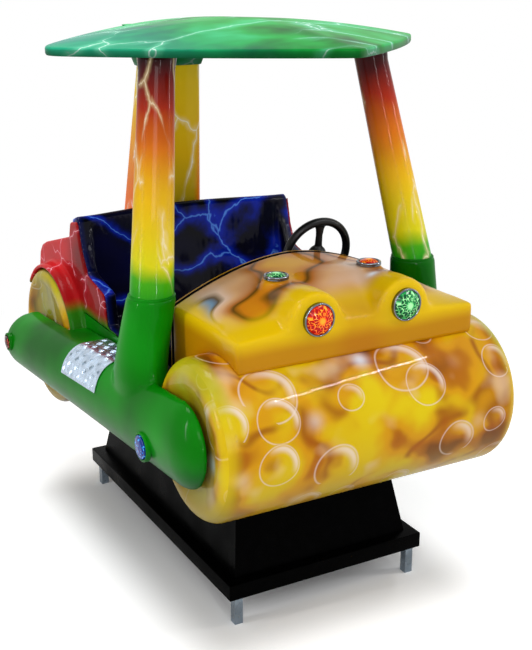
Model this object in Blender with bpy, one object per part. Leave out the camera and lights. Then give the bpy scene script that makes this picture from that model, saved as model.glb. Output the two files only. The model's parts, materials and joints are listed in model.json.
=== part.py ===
"""Coin-operated rocking ride for two small children, shaped like a toy road roller.

Metres, +Z up. The vehicle faces -Y, so its own right side is -X. The origin is on the
floor under the middle of the overall length and width.
"""
import math

import bmesh
import bpy
from mathutils import Matrix, Vector

# ---------------------------------------------------------------- driving dimensions
LENGTH = 1.575                 # overall, front of front drum to back of rear drum
GAP = 0.0003                   # between pieces that rest on each other
RUN = 0.0003                   # radial clearance of a turning or sliding fit
SKIN = 0.006                   # fibreglass wall
ROCK_DEGREES = 5.0             # ride pitch each way

# base
BASE_Y = -0.0125               # middle of the base, from the middle of the ride
SLAB_HALF_X = 0.320
SLAB_HALF_Y = 0.527
LEG_HEIGHT = 0.083
LEG_SIZE = 0.025
LEG_WALL = 0.002
LEG_INSET_X = 0.032
LEG_INSET_Y = 0.022
SLAB_THICK = 0.047
HOUSING_HALF_X = 0.285
HOUSING_HALF_Y = 0.490
HOUSING_HEIGHT = 0.175
HOUSING_SLOPE_X = 0.15         # inward run per unit of height
HOUSING_SLOPE_Y = 0.25
HOUSING_WALL = 0.008
HOUSING_MOUTH_X = 0.170        # half size of the mouth in the housing's top
HOUSING_MOUTH_Y = 0.300

# rocking drive
PIVOT_Z = 0.235
AXLE_RADIUS = 0.010
AXLE_HALF = 0.210
BLOCK_X = 0.185
CRANK_ARM = 0.240              # pivot axle to crank centre
CRANK_DISC_RADIUS = 0.040
CRANK_DISC_X = (-0.030, -0.020)
SHAFT_RADIUS = 0.010
PIN_RADIUS = 0.006
ROLLER_RADIUS = 0.015
ROLLER_X = (-0.0145, 0.0095)
CHANNEL_SLACK = 0.0075         # above and below the roller
CHANNEL_WALL = 0.005
CHANNEL_X = (-0.0165, 0.0230)
CHANNEL_HALF_Y = 0.055
RAIL_SIZE = 0.030
RAIL_X = 0.200
RAIL_BOTTOM = 0.350
RAIL_FRONT_Y = -0.340
RAIL_REAR_Y = 0.310
LUG_X = 0.130
LUG_THICK = 0.008
LUG_HALF_Y = 0.030

# drums
FRONT_DRUM_RADIUS = 0.215
FRONT_DRUM_OVERHANG = 0.065    # beyond the body at each end
FRONT_DRUM_Z = 0.600
FRONT_DRUM_FILLET = 0.045
REAR_DRUM_RADIUS = 0.229
REAR_DRUM_OVERHANG = 0.055
REAR_DRUM_Z = 0.549
REAR_DRUM_FILLET = 0.030

# body
BODY_HALF = 0.385              # tub and seat shell, outside
SEAT_TO_AXLE = 0.5585          # the seat's outlines are drawn from here, ahead of the rear drum's axis
TUB_RIM_Z = 0.683
TUB_BACK_Z = 0.612             # the tub's back wall stops below the seat pan
TUB_FLANGE = 0.035
FLOOR_THICK = 0.008
MEMBER_PAST_AXLE = 0.0415      # where the side member's straight part ends, behind the rear axis
MEMBER_FACETS = 10             # flats round the half-round outside of a side member
POST_BASE_INSET = 0.0275       # post base's middle, inboard of the front drum's end
POST_BASE_SETBACK = 0.054      # and behind the front drum's back
POST_BASE_RISE = 0.101         # post base's top, above the top of the front drum
POST_BASE_RADIUS = 0.066
POST_TOP_X = 0.331
POST_TOP_SETBACK = 0.183       # post's top, behind the front drum's back
POST_RADII = (0.059, 0.0475)   # at its foot and at the roof
POST_WALL = 0.005
ROOF_PAD_Z = 1.512
ROOF_HALF_X = 0.575
ROOF_AHEAD = 0.063             # roof's front tip, ahead of the front drum's axis
ROOF_BEHIND = 0.129            # and its rear tip, behind the rear drum's
ROOF_WIDEST_Y = -0.0425
ROOF_RIM_Z = 1.556
ROOF_DROOP = 0.015             # the side corners sit lower than the front one
ROOF_APEX_Z = 1.604
ROOF_LIP = 0.022
ROOF_SKIN = 0.009
SOCKET_Z = 1.430

# hood and controls
HOOD_AHEAD = 0.100             # hood's face, ahead of the front drum's axis
HOOD_BEHIND = 0.0675            # and its rear edge, behind the drum's back
HOOD_INSET = 0.023             # hood's side, inboard of the body's
HOOD_SHOULDER_RISE = 0.061     # above the top of the front drum
HOOD_NOSE_RISE = 0.073
HOOD_CROWN_RISE = 0.163
HOOD_COLUMNS = 20
HOOD_BAY = math.radians(8.5)   # most turn of the drum under one bay of the hood
HEADLAMP_X = 0.133
HEADLAMP_RISE = 0.092
BEZEL_RADIUS = 0.044
LENS_RADIUS = 0.0355
TOP_LAMP_X = 0.145
TOP_LAMP_SETBACK = 0.191       # behind the hood's face
TOP_LAMP_RISE = 0.153
DASH_THICK = 0.006
WHEEL_X = 0.145
WHEEL_SETBACK = 0.0825         # behind the hood's rear edge
WHEEL_RISE = 0.120
WHEEL_TILT = math.radians(13.0)
WHEEL_RIM_RADIUS = 0.103
WHEEL_GRIP_RADIUS = 0.012
HUB_RADIUS = 0.028
HORN_RADIUS = 0.017
BUTTON_TRAVEL = 0.004
START_BUTTON = (0.0, 0.845)
START_RADIUS = 0.014
SPEAKER = (-0.170, 0.800)
SPEAKER_RADIUS = 0.050

# coin door on the sloping back of the housing, in the back face's own frame
DOOR_HALF_X = 0.075
DOOR_LOW = 0.022
DOOR_HIGH = 0.148
DOOR_THICK = 0.004
DOOR_LAP = 0.006
LOCK_X = 0.052
LOCK_Z = 0.085
COIN_X = -0.025
COIN_Z = 0.120
REJECT_X = 0.020
FLAP_X = -0.015
FLAP_HALF = 0.024
FLAP_LOW = 0.042
FLAP_HIGH = 0.076
INLET_X = 0.170
INLET_Z = 0.060
INLET_HALF = (0.0240, 0.0145)
INLET_FLANGE = (0.032, 0.022)
GEARBOX_X = (-0.160, -0.060)
GEARBOX_HALF_Y = 0.055
MOTOR_RADIUS = 0.042
MOTOR_LENGTH = 0.105

# ---------------------------------------------------------------- derived places
SLAB_TOP = LEG_HEIGHT + SLAB_THICK
HOUSING_TOP = SLAB_TOP + HOUSING_HEIGHT
FRONT_DRUM_HALF = BODY_HALF + FRONT_DRUM_OVERHANG
REAR_DRUM_HALF = BODY_HALF + REAR_DRUM_OVERHANG
FRONT_DRUM_Y = -LENGTH / 2 + FRONT_DRUM_RADIUS
REAR_DRUM_Y = LENGTH / 2 - REAR_DRUM_RADIUS
CRANK_Y = BASE_Y - CRANK_ARM
CRANK_RADIUS = CRANK_ARM * math.sin(math.radians(ROCK_DEGREES))
TUB_REAR_Y = REAR_DRUM_Y - REAR_DRUM_RADIUS - GAP
FLOOR_Z = RAIL_BOTTOM + RAIL_SIZE + GAP
FLOOR_TOP = FLOOR_Z + FLOOR_THICK
DRUM_TOP = FRONT_DRUM_Z + FRONT_DRUM_RADIUS
DRUM_BACK_Y = FRONT_DRUM_Y + FRONT_DRUM_RADIUS
TUB_FRONT_Y = DRUM_BACK_Y + GAP
HOOD_SHOULDER_Z = DRUM_TOP + HOOD_SHOULDER_RISE
HOOD_NOSE_Z = DRUM_TOP + HOOD_NOSE_RISE
HOOD_CROWN_Z = DRUM_TOP + HOOD_CROWN_RISE
HEADLAMP = (HEADLAMP_X, DRUM_TOP + HEADLAMP_RISE)
HOOD_FRONT_Y = FRONT_DRUM_Y - HOOD_AHEAD
HOOD_REAR_Y = DRUM_BACK_Y + HOOD_BEHIND
HOOD_HALF = BODY_HALF - HOOD_INSET
TOP_LAMP = (TOP_LAMP_X, HOOD_FRONT_Y + TOP_LAMP_SETBACK, DRUM_TOP + TOP_LAMP_RISE)
MEMBER_OVERLAP_Y = REAR_DRUM_Y + MEMBER_PAST_AXLE
POST_BASE_TOP = (FRONT_DRUM_HALF - POST_BASE_INSET, DRUM_BACK_Y + POST_BASE_SETBACK,
                 DRUM_TOP + POST_BASE_RISE)
POST_TOP = (POST_TOP_X, DRUM_BACK_Y + POST_TOP_SETBACK)
ROOF_FRONT_Y = FRONT_DRUM_Y - ROOF_AHEAD
ROOF_REAR_Y = REAR_DRUM_Y + ROOF_BEHIND
SEAT_Y = REAR_DRUM_Y - SEAT_TO_AXLE
WHEEL_CENTRE = Vector((WHEEL_X, HOOD_REAR_Y + WHEEL_SETBACK, DRUM_TOP + WHEEL_RISE))
WHEEL_AXIS = Vector((0.0, math.cos(WHEEL_TILT), math.sin(WHEEL_TILT)))
DASH_Y = HOOD_REAR_Y + GAP
DASH_BACK_Y = DASH_Y + DASH_THICK


# ---------------------------------------------------------------- modelling helpers
def clear_scene():
    for item in list(bpy.data.objects):
        bpy.data.objects.remove(item, do_unlink=True)


def paint(name, colour, roughness=0.25, metallic=0.0):
    """A plain Principled material, made once for each name."""
    material = bpy.data.materials.get(name)
    if material is None:
        material = bpy.data.materials.new(name)
        material.use_nodes = True
        shader = material.node_tree.nodes["Principled BSDF"]
        shader.inputs["Base Color"].default_value = (*colour, 1.0)
        shader.inputs["Roughness"].default_value = roughness
        shader.inputs["Metallic"].default_value = metallic
    return material


def joint_empty(name, place, parent=None):
    """An empty on a joint's axis, which the moving pieces hang from."""
    empty = bpy.data.objects.new(name, None)
    empty.empty_display_size = 0.05
    bpy.context.collection.objects.link(empty)
    if parent is not None:
        empty.parent = parent
        empty.location = Vector(place) - parent.matrix_world.translation
    else:
        empty.location = place
    bpy.context.view_layer.update()
    return empty


def finish(name, bm, material, parent=None, matrix=None):
    """Turn a bmesh in world coordinates into a named object hung from its parent."""
    if matrix is not None:
        bmesh.ops.transform(bm, matrix=matrix, verts=bm.verts)
    bmesh.ops.remove_doubles(bm, verts=bm.verts, dist=1e-6)
    bmesh.ops.recalc_face_normals(bm, faces=bm.faces)
    mesh = bpy.data.meshes.new(name)
    bm.to_mesh(mesh)
    bm.free()
    mesh.shade_smooth()
    mesh.set_sharp_from_angle(angle=math.radians(35))
    item = bpy.data.objects.new(name, mesh)
    bpy.context.collection.objects.link(item)
    item.data.materials.append(material)
    if parent is not None:
        mesh.transform(Matrix.Translation(-parent.matrix_world.translation))
        item.parent = parent
    bpy.context.view_layer.update()
    return item


def combine(item, operation, bm, matrix=None):
    """Boolean a hidden helper solid, in world coordinates, with an object."""
    order = len(item.modifiers) + 1
    helper = finish(f"{item.name}_helper_{order}", bm, item.data.materials[0], item.parent, matrix)
    helper.hide_render = True
    helper.display_type = 'WIRE'
    modifier = item.modifiers.new(f"{operation.lower()}_{order}", 'BOOLEAN')
    modifier.operation = operation
    modifier.object = helper
    modifier.solver = 'EXACT'


def cut(item, bm, matrix=None):
    combine(item, 'DIFFERENCE', bm, matrix)


def weld(item, bm, matrix=None):
    combine(item, 'UNION', bm, matrix)


def box(low, high):
    """A rectangular block between two corners."""
    bm = bmesh.new()
    bmesh.ops.create_cube(bm, size=1.0)
    for vert in bm.verts:
        vert.co = [low[i] if vert.co[i] < 0 else high[i] for i in range(3)]
    return bm


def lofted(rings, closed=False):
    """A solid skinned over rings of points, capped unless it closes on itself."""
    bm = bmesh.new()
    rows = [[bm.verts.new(point) for point in ring] for ring in rings]
    count = len(rows[0])
    pairs = list(zip(rows, rows[1:]))
    if closed:
        pairs.append((rows[-1], rows[0]))
    for lower, upper in pairs:
        for i in range(count):
            j = (i + 1) % count
            bm.faces.new((lower[i], lower[j], upper[j], upper[i]))
    if not closed:
        bm.faces.new(list(reversed(rows[0])))
        bm.faces.new(rows[-1])
    return bm


def prism(outline, axis, low, high):
    """Extrude an outline of (a, b) points along X, Y or Z."""
    def place(a, b, along):
        return {'X': (along, a, b), 'Y': (a, along, b), 'Z': (a, b, along)}[axis]
    return lofted([[place(a, b, t) for a, b in outline] for t in (low, high)])


def circle(centre, radius, axis, count):
    """Points round a circle whose plane is square to the axis vector."""
    axis = Vector(axis).normalized()
    side = axis.orthogonal().normalized()
    if abs(axis.x) > 0.9:
        side = Vector((0.0, 0.0, 1.0))
    elif abs(axis.z) > 0.9:
        side = Vector((1.0, 0.0, 0.0))
    else:
        side = Vector((1.0, 0.0, 0.0))
    other = axis.cross(side)
    turn = [2 * math.pi * i / count for i in range(count)]
    return [Vector(centre) + radius * (math.cos(a) * side + math.sin(a) * other) for a in turn]


def turned(start, axis, profile, count=24):
    """A solid of revolution: profile lists (distance along the axis, radius)."""
    axis = Vector(axis).normalized()
    rings = [circle(Vector(start) + axis * along, max(radius, 1e-7), axis, count)
             for along, radius in profile]
    return lofted(rings)


def ring_turned(start, axis, profile, count=24):
    """A turned ring: its closed profile lists (distance along the axis, radius)."""
    axis = Vector(axis).normalized()
    rings = [circle(Vector(start) + axis * along, radius, axis, count)
             for along, radius in profile]
    return lofted(rings, closed=True)


def sheet(stations):
    """A closed thick sheet. Each station is a pair of equally long point paths."""
    bm = bmesh.new()
    outer = [[bm.verts.new(p) for p in station[0]] for station in stations]
    inner = [[bm.verts.new(p) for p in station[1]] for station in stations]
    count = len(outer[0])
    for k in range(len(stations) - 1):
        for i in range(count - 1):
            bm.faces.new((outer[k][i], outer[k][i + 1], outer[k + 1][i + 1], outer[k + 1][i]))
            bm.faces.new((inner[k][i], inner[k + 1][i], inner[k + 1][i + 1], inner[k][i + 1]))
        for i in (0, count - 1):
            bm.faces.new((outer[k][i], outer[k + 1][i], inner[k + 1][i], inner[k][i]))
    for k in (0, len(stations) - 1):
        for i in range(count - 1):
            bm.faces.new((outer[k][i], inner[k][i], inner[k][i + 1], outer[k][i + 1]))
    return bm


def offset_path(points, distance):
    """Move an open path of (a, b) points sideways, to the left of its run."""
    moved = []
    for i, point in enumerate(points):
        here = Vector(point)
        runs = []
        if i > 0:
            runs.append((here - Vector(points[i - 1])).normalized())
        if i < len(points) - 1:
            runs.append((Vector(points[i + 1]) - here).normalized())
        normals = [Vector((-run.y, run.x)) for run in runs]
        mean = sum(normals, Vector((0.0, 0.0))).normalized()
        moved.append(here + mean * distance / max(mean.dot(normals[0]), 0.3))
    return moved


def rounded_rectangle(half_a, half_b, radius, corner_steps=3):
    """Corner-rounded rectangle outline round the origin, anticlockwise."""
    outline = []
    for index, (sa, sb) in enumerate(((1, 1), (-1, 1), (-1, -1), (1, -1))):
        for step in range(corner_steps + 1):
            turn = math.pi / 2 * (index + step / corner_steps)
            outline.append((sa * (half_a - radius) + radius * math.cos(turn),
                            sb * (half_b - radius) + radius * math.sin(turn)))
    return outline


def mix(a, b, t):
    return a + (b - a) * t


# ---------------------------------------------------------------- paints
BLACK = paint("gloss_black", (0.010, 0.010, 0.012), 0.12)
STEEL = paint("galvanised_steel", (0.55, 0.57, 0.58), 0.40, 1.0)
ZINC = paint("zinc_plate", (0.62, 0.62, 0.60), 0.35, 1.0)
MOTOR_GREY = paint("motor_grey", (0.25, 0.27, 0.29), 0.45)
NYLON = paint("nylon", (0.75, 0.74, 0.70), 0.45)
PLASTIC_BLACK = paint("black_plastic", (0.02, 0.02, 0.02), 0.40)
CHROME = paint("chrome", (0.80, 0.81, 0.83), 0.08, 1.0)
GREEN = paint("green_gelcoat", (0.010, 0.330, 0.030), 0.12)
YELLOW = paint("yellow_gelcoat", (0.880, 0.560, 0.010), 0.12)
RED = paint("red_gelcoat", (0.620, 0.010, 0.015), 0.12)
BLUE = paint("dark_blue_gelcoat", (0.005, 0.005, 0.080), 0.12)
ORANGE = paint("orange_gelcoat", (0.880, 0.330, 0.010), 0.12)
TREAD = paint("bright_tread_plate", (0.70, 0.72, 0.75), 0.25, 1.0)
RED_LENS = paint("red_lens", (0.80, 0.02, 0.02), 0.05)
GREEN_LENS = paint("green_lens", (0.02, 0.50, 0.15), 0.05)
BLUE_LENS = paint("blue_lens", (0.02, 0.15, 0.65), 0.05)
BROWN_LENS = paint("dark_red_lens", (0.30, 0.02, 0.01), 0.05)


# ---------------------------------------------------------------- base
def base_slab():
    finish("base_slab", box((-SLAB_HALF_X, BASE_Y - SLAB_HALF_Y, LEG_HEIGHT),
                            (SLAB_HALF_X, BASE_Y + SLAB_HALF_Y, SLAB_TOP)), BLACK)


def legs():
    """Square steel tubes, open at both ends, bolted up to the slab."""
    for end_name, end in (("front", -1), ("rear", 1)):
        for side_name, side in (("right", -1), ("left", 1)):
            x = side * (SLAB_HALF_X - LEG_INSET_X)
            y = BASE_Y + end * (SLAB_HALF_Y - LEG_INSET_Y)
            rings = []
            for half, z in ((LEG_SIZE / 2, 0.0), (LEG_SIZE / 2, LEG_HEIGHT - GAP),
                            (LEG_SIZE / 2 - LEG_WALL, LEG_HEIGHT - GAP),
                            (LEG_SIZE / 2 - LEG_WALL, 0.0)):
                rings.append([(x + a * half, y + b * half, z)
                              for a, b in ((-1, -1), (1, -1), (1, 1), (-1, 1))])
            finish(f"leg_{end_name}_{side_name}", lofted(rings, closed=True), STEEL)


def housing_half(height, inset=0.0):
    """Half sizes of the housing's outline at a height above the slab."""
    return (HOUSING_HALF_X - HOUSING_SLOPE_X * height - inset,
            HOUSING_HALF_Y - HOUSING_SLOPE_Y * height - inset)


def back_frame():
    """Matrix of the housing's back face: X across, Y outward, Z up the slope."""
    lean = math.atan(HOUSING_SLOPE_Y)
    place = Vector((0.0, BASE_Y + HOUSING_HALF_Y, SLAB_TOP))
    return Matrix.Translation(place) @ Matrix.Rotation(lean, 4, 'X')


def base_housing():
    """Truncated pyramid shell with an open top mouth, a coin cut-out and an inlet hole."""
    low = SLAB_TOP + GAP
    inner_top = HOUSING_HEIGHT - HOUSING_WALL
    rings = []
    for half, z in ((housing_half(GAP), low),
                    (housing_half(HOUSING_HEIGHT), HOUSING_TOP),
                    ((HOUSING_MOUTH_X, HOUSING_MOUTH_Y), HOUSING_TOP),
                    ((HOUSING_MOUTH_X, HOUSING_MOUTH_Y), HOUSING_TOP - HOUSING_WALL),
                    (housing_half(inner_top, HOUSING_WALL), HOUSING_TOP - HOUSING_WALL),
                    (housing_half(GAP, HOUSING_WALL), low)):
        rings.append([(a * half[0], BASE_Y + b * half[1], z)
                      for a, b in ((-1, -1), (1, -1), (1, 1), (-1, 1))])
    housing = finish("base_housing", lofted(rings, closed=True), BLACK)
    cut(housing, box((-DOOR_HALF_X + DOOR_LAP, -0.03, DOOR_LOW + DOOR_LAP),
                     (DOOR_HALF_X - DOOR_LAP, 0.03, DOOR_HIGH - DOOR_LAP)), back_frame())
    cut(housing, box((-INLET_X - INLET_HALF[0], -0.03, INLET_Z - INLET_HALF[1]),
                     (-INLET_X + INLET_HALF[0], 0.03, INLET_Z + INLET_HALF[1])), back_frame())


def mains_inlet():
    """Panel inlet with three blades in an open socket; the socket passes the housing wall."""
    fit = 0.0005
    body = box((-INLET_X - INLET_HALF[0] + fit, -0.026, INLET_Z - INLET_HALF[1] + fit),
               (-INLET_X + INLET_HALF[0] - fit, 0.002, INLET_Z + INLET_HALF[1] - fit))
    inlet = finish("mains_inlet", body, PLASTIC_BLACK, None, back_frame())
    flange = box((-INLET_X - INLET_FLANGE[0], GAP, INLET_Z - INLET_FLANGE[1]),
                 (-INLET_X + INLET_FLANGE[0], 0.0035, INLET_Z + INLET_FLANGE[1]))
    weld(inlet, flange, back_frame())
    socket = box((-INLET_X - 0.0125, -0.016, INLET_Z - 0.0085),
                 (-INLET_X + 0.0125, 0.010, INLET_Z + 0.0085))
    cut(inlet, socket, back_frame())
    for x, z in ((-0.007, -0.003), (0.007, -0.003), (0.0, 0.003)):
        blade = box((-INLET_X + x - 0.0010, -0.017, INLET_Z + z - 0.002),
                    (-INLET_X + x + 0.0010, -0.004, INLET_Z + z + 0.002))
        weld(inlet, blade, back_frame())


def coin_door_parts():
    """Hinged door in the back of the housing with its coin gear, lock, button and flap."""
    frame = back_frame()
    hinge_line = (-DOOR_HALF_X - 0.004, DOOR_THICK + 0.0002, (DOOR_LOW + DOOR_HIGH) / 2)
    hinge = joint_empty("coin_door_swing", frame @ Vector(hinge_line))
    door = finish("coin_door", box((-DOOR_HALF_X - 0.0035, GAP, DOOR_LOW),
                                   (DOOR_HALF_X, DOOR_THICK, DOOR_HIGH)), ZINC, hinge, frame)
    knuckle = turned((hinge_line[0], hinge_line[1], DOOR_LOW + 0.01), (0, 0, 1),
                     [(0.0, 0.0036), (DOOR_HIGH - DOOR_LOW - 0.02, 0.0036)], 14)
    weld(door, knuckle, frame)
    # holes for the lock, the coin slot, the reject button and the return flap
    cut(door, turned((LOCK_X, -0.01, LOCK_Z), (0, 1, 0), [(0.0, 0.0093), (0.03, 0.0093)], 20), frame)
    cut(door, box((COIN_X - 0.0165, -0.01, COIN_Z - 0.0045),
                  (COIN_X + 0.0165, 0.01, COIN_Z + 0.0045)), frame)
    cut(door, turned((REJECT_X, -0.01, COIN_Z), (0, 1, 0), [(0.0, 0.0073), (0.03, 0.0073)], 20), frame)
    cut(door, box((FLAP_X - FLAP_HALF - 0.001, -0.01, FLAP_LOW - 0.001),
                  (FLAP_X + FLAP_HALF + 0.001, 0.01, FLAP_HIGH + 0.001)), frame)

    entry = finish("coin_entry", box((COIN_X - 0.016, -0.003, COIN_Z - 0.004),
                                     (COIN_X + 0.016, DOOR_THICK + 0.004, COIN_Z + 0.004)),
                   CHROME, hinge, frame)
    weld(entry, box((COIN_X - 0.021, DOOR_THICK + GAP, COIN_Z - 0.010),
                    (COIN_X + 0.021, DOOR_THICK + 0.005, COIN_Z + 0.010)), frame)
    cut(entry, box((COIN_X - 0.0135, -0.02, COIN_Z - 0.0021),
                   (COIN_X + 0.0135, 0.02, COIN_Z + 0.0021)), frame)

    acceptor = finish("coin_acceptor", box((COIN_X - 0.024, -0.058, COIN_Z - 0.030),
                                           (COIN_X + 0.024, -0.0033, COIN_Z + 0.014)),
                      MOTOR_GREY, hinge, frame)
    cut(acceptor, box((COIN_X - 0.0145, -0.050, COIN_Z - 0.0025),
                      (COIN_X + 0.0145, 0.01, COIN_Z + 0.0025)), frame)

    lock = joint_empty("coin_lock_turn", frame @ Vector((LOCK_X, 0.0, LOCK_Z)), hinge)
    barrel = turned((LOCK_X, -0.0140, LOCK_Z), (0, 1, 0),
                    [(0.0, 0.009), (0.0140 + DOOR_THICK + GAP, 0.009),
                     (0.0140 + DOOR_THICK + GAP, 0.0115), (0.0180 + DOOR_THICK, 0.0110)], 20)
    lock_item = finish("coin_door_lock", barrel, CHROME, lock, frame)
    weld(lock_item, box((LOCK_X - 0.006, -0.0125, LOCK_Z - 0.026),
                        (LOCK_X + 0.006, -0.0100, LOCK_Z)), frame)
    cut(lock_item, box((LOCK_X - 0.0045, DOOR_THICK + 0.001, LOCK_Z - 0.0012),
                       (LOCK_X + 0.0045, 0.05, LOCK_Z + 0.0012)), frame)

    reject = joint_empty("coin_reject_press", frame @ Vector((REJECT_X, 0.0, COIN_Z)), hinge)
    finish("coin_reject_button", turned((REJECT_X, -0.0060, COIN_Z), (0, 1, 0),
                                        [(0.0, 0.0070), (0.0150, 0.0070), (0.0165, 0.0055)], 20),
           CHROME, reject, frame)

    flap_axis = frame @ Vector((FLAP_X, DOOR_THICK / 2, FLAP_HIGH - 0.0015))
    flap = joint_empty("coin_flap_swing", flap_axis, hinge)
    flap_item = finish("coin_return_flap", box((FLAP_X - FLAP_HALF, 0.0012, FLAP_LOW),
                                               (FLAP_X + FLAP_HALF, 0.0032, FLAP_HIGH - 0.002)),
                       CHROME, flap, frame)
    weld(flap_item, turned((FLAP_X - FLAP_HALF, DOOR_THICK / 2 + 0.0002, FLAP_HIGH - 0.0015), (1, 0, 0),
                           [(0.0, 0.0014), (2 * FLAP_HALF, 0.0014)], 12), frame)

    out_x, in_x = FLAP_HALF + 0.0045, FLAP_HALF + 0.0020
    low, high = FLAP_LOW - 0.0045, FLAP_HIGH + 0.0045
    cup = finish("coin_return_cup", box((FLAP_X - out_x, -0.034, low), (FLAP_X + out_x, -GAP, high)),
                 PLASTIC_BLACK, hinge, frame)
    cut(cup, box((FLAP_X - in_x, -0.0315, low + 0.0025), (FLAP_X + in_x, 0.010, high - 0.0025)), frame)


def cash_box():
    """Open-topped tray that stands on the slab below the coin gear."""
    low, high = SLAB_TOP + GAP, SLAB_TOP + 0.026
    y_back = BASE_Y + 0.455
    rings = []
    for half_x, front, back, z in ((0.062, 0.110, 0.0, low), (0.062, 0.110, 0.0, high),
                                   (0.060, 0.108, 0.002, high), (0.060, 0.108, 0.002, low + 0.002)):
        rings.append([(-half_x, y_back - front, z), (half_x, y_back - front, z),
                      (half_x, y_back - back, z), (-half_x, y_back - back, z)])
    finish("cash_box", lofted(rings), STEEL)


def control_box():
    """Electronics cover, open underneath, screwed to the slab."""
    low, high = SLAB_TOP + GAP, SLAB_TOP + 0.060
    x0, x1, y0, y1 = 0.060, 0.200, BASE_Y - 0.400, BASE_Y - 0.200
    wall = 0.002
    rings = []
    for inset, z in ((0.0, low), (0.0, high), (wall, high - wall), (wall, low)):
        rings.append([(x0 + inset, y0 + inset, z), (x1 - inset, y0 + inset, z),
                      (x1 - inset, y1 - inset, z), (x0 + inset, y1 - inset, z)])
    bm = bmesh.new()
    rows = [[bm.verts.new(p) for p in ring] for ring in rings]
    for lower, upper in ((rows[0], rows[1]), (rows[2], rows[3]), (rows[3], rows[0])):
        for i in range(4):
            j = (i + 1) % 4
            bm.faces.new((lower[i], lower[j], upper[j], upper[i]))
    bm.faces.new(rows[1])
    bm.faces.new(rows[2])
    finish("control_box", bm, ZINC)


# ---------------------------------------------------------------- rocking drive


def gear_drive(crank):
    """Worm gearbox and motor on the slab, and the crank on the gearbox's output shaft."""
    gearbox = finish("gearbox", box((GEARBOX_X[0], CRANK_Y - GEARBOX_HALF_Y, SLAB_TOP + GAP),
                                    (GEARBOX_X[1], CRANK_Y + GEARBOX_HALF_Y, PIVOT_Z + 0.045)),
                     MOTOR_GREY)
    weld(gearbox, box((GEARBOX_X[0] - 0.020, CRANK_Y - GEARBOX_HALF_Y - 0.012, SLAB_TOP + GAP),
                      (GEARBOX_X[1] + 0.010, CRANK_Y + GEARBOX_HALF_Y + 0.012, SLAB_TOP + 0.010)))
    cut(gearbox, turned((GEARBOX_X[1] - 0.030, CRANK_Y, PIVOT_Z), (1, 0, 0),
                        [(0.0, SHAFT_RADIUS + RUN), (0.05, SHAFT_RADIUS + RUN)]))
    motor_start = CRANK_Y - GEARBOX_HALF_Y - GAP
    motor_z = SLAB_TOP + 0.0565
    finish("gear_motor", turned((mix(*GEARBOX_X, 0.5), motor_start, motor_z), (0, -1, 0),
                                [(0.0, 0.030), (0.006, 0.030), (0.006, MOTOR_RADIUS),
                                 (MOTOR_LENGTH - 0.012, MOTOR_RADIUS), (MOTOR_LENGTH, 0.034)]),
           MOTOR_GREY)
    shaft_start = GEARBOX_X[1] - 0.0295
    disc = turned((shaft_start, CRANK_Y, PIVOT_Z), (1, 0, 0),
                  [(0.0, SHAFT_RADIUS), (CRANK_DISC_X[0] - shaft_start, SHAFT_RADIUS),
                   (CRANK_DISC_X[0] - shaft_start, CRANK_DISC_RADIUS),
                   (CRANK_DISC_X[1] - shaft_start, CRANK_DISC_RADIUS)])
    drive = finish("drive_crank", disc, STEEL, crank)
    pin_start = CRANK_DISC_X[1] - 0.002
    weld(drive, turned((pin_start, CRANK_Y - CRANK_RADIUS, PIVOT_Z), (1, 0, 0),
                       [(0.0, PIN_RADIUS), (ROLLER_X[1] + GAP - pin_start, PIN_RADIUS),
                        (ROLLER_X[1] + GAP - pin_start, 0.010),
                        (ROLLER_X[1] + 0.003 - pin_start, 0.010)], 20))


def crank_roller(spin):
    finish("crank_roller", ring_turned((ROLLER_X[0], CRANK_Y - CRANK_RADIUS, PIVOT_Z), (1, 0, 0),
                                       [(0.0, PIN_RADIUS + RUN), (0.0, ROLLER_RADIUS),
                                        (ROLLER_X[1] - ROLLER_X[0], ROLLER_RADIUS),
                                        (ROLLER_X[1] - ROLLER_X[0], PIN_RADIUS + RUN)], 24), NYLON, spin)


def pivot_parts():
    """Fixed axle in two pedestal blocks; the ride's lugs turn on it."""
    finish("pivot_axle", turned((-AXLE_HALF, BASE_Y, PIVOT_Z), (1, 0, 0),
                                [(0.0, AXLE_RADIUS), (2 * AXLE_HALF, AXLE_RADIUS)]), STEEL)
    for name, side in (("right", -1), ("left", 1)):
        outline = [(-0.045, SLAB_TOP + GAP), (0.045, SLAB_TOP + GAP), (0.045, SLAB_TOP + 0.012),
                   (0.026, SLAB_TOP + 0.018), (0.022, PIVOT_Z + 0.012), (0.012, PIVOT_Z + 0.022),
                   (-0.012, PIVOT_Z + 0.022), (-0.022, PIVOT_Z + 0.012), (-0.026, SLAB_TOP + 0.018),
                   (-0.045, SLAB_TOP + 0.012)]
        outline = [(BASE_Y + a, b) for a, b in outline]
        x = side * BLOCK_X
        block = finish(f"pillow_block_{name}", prism(outline, 'X', x - 0.018, x + 0.018), MOTOR_GREY)
        cut(block, turned((x - 0.03, BASE_Y, PIVOT_Z), (1, 0, 0),
                          [(0.0, AXLE_RADIUS + RUN), (0.06, AXLE_RADIUS + RUN)]))


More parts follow.
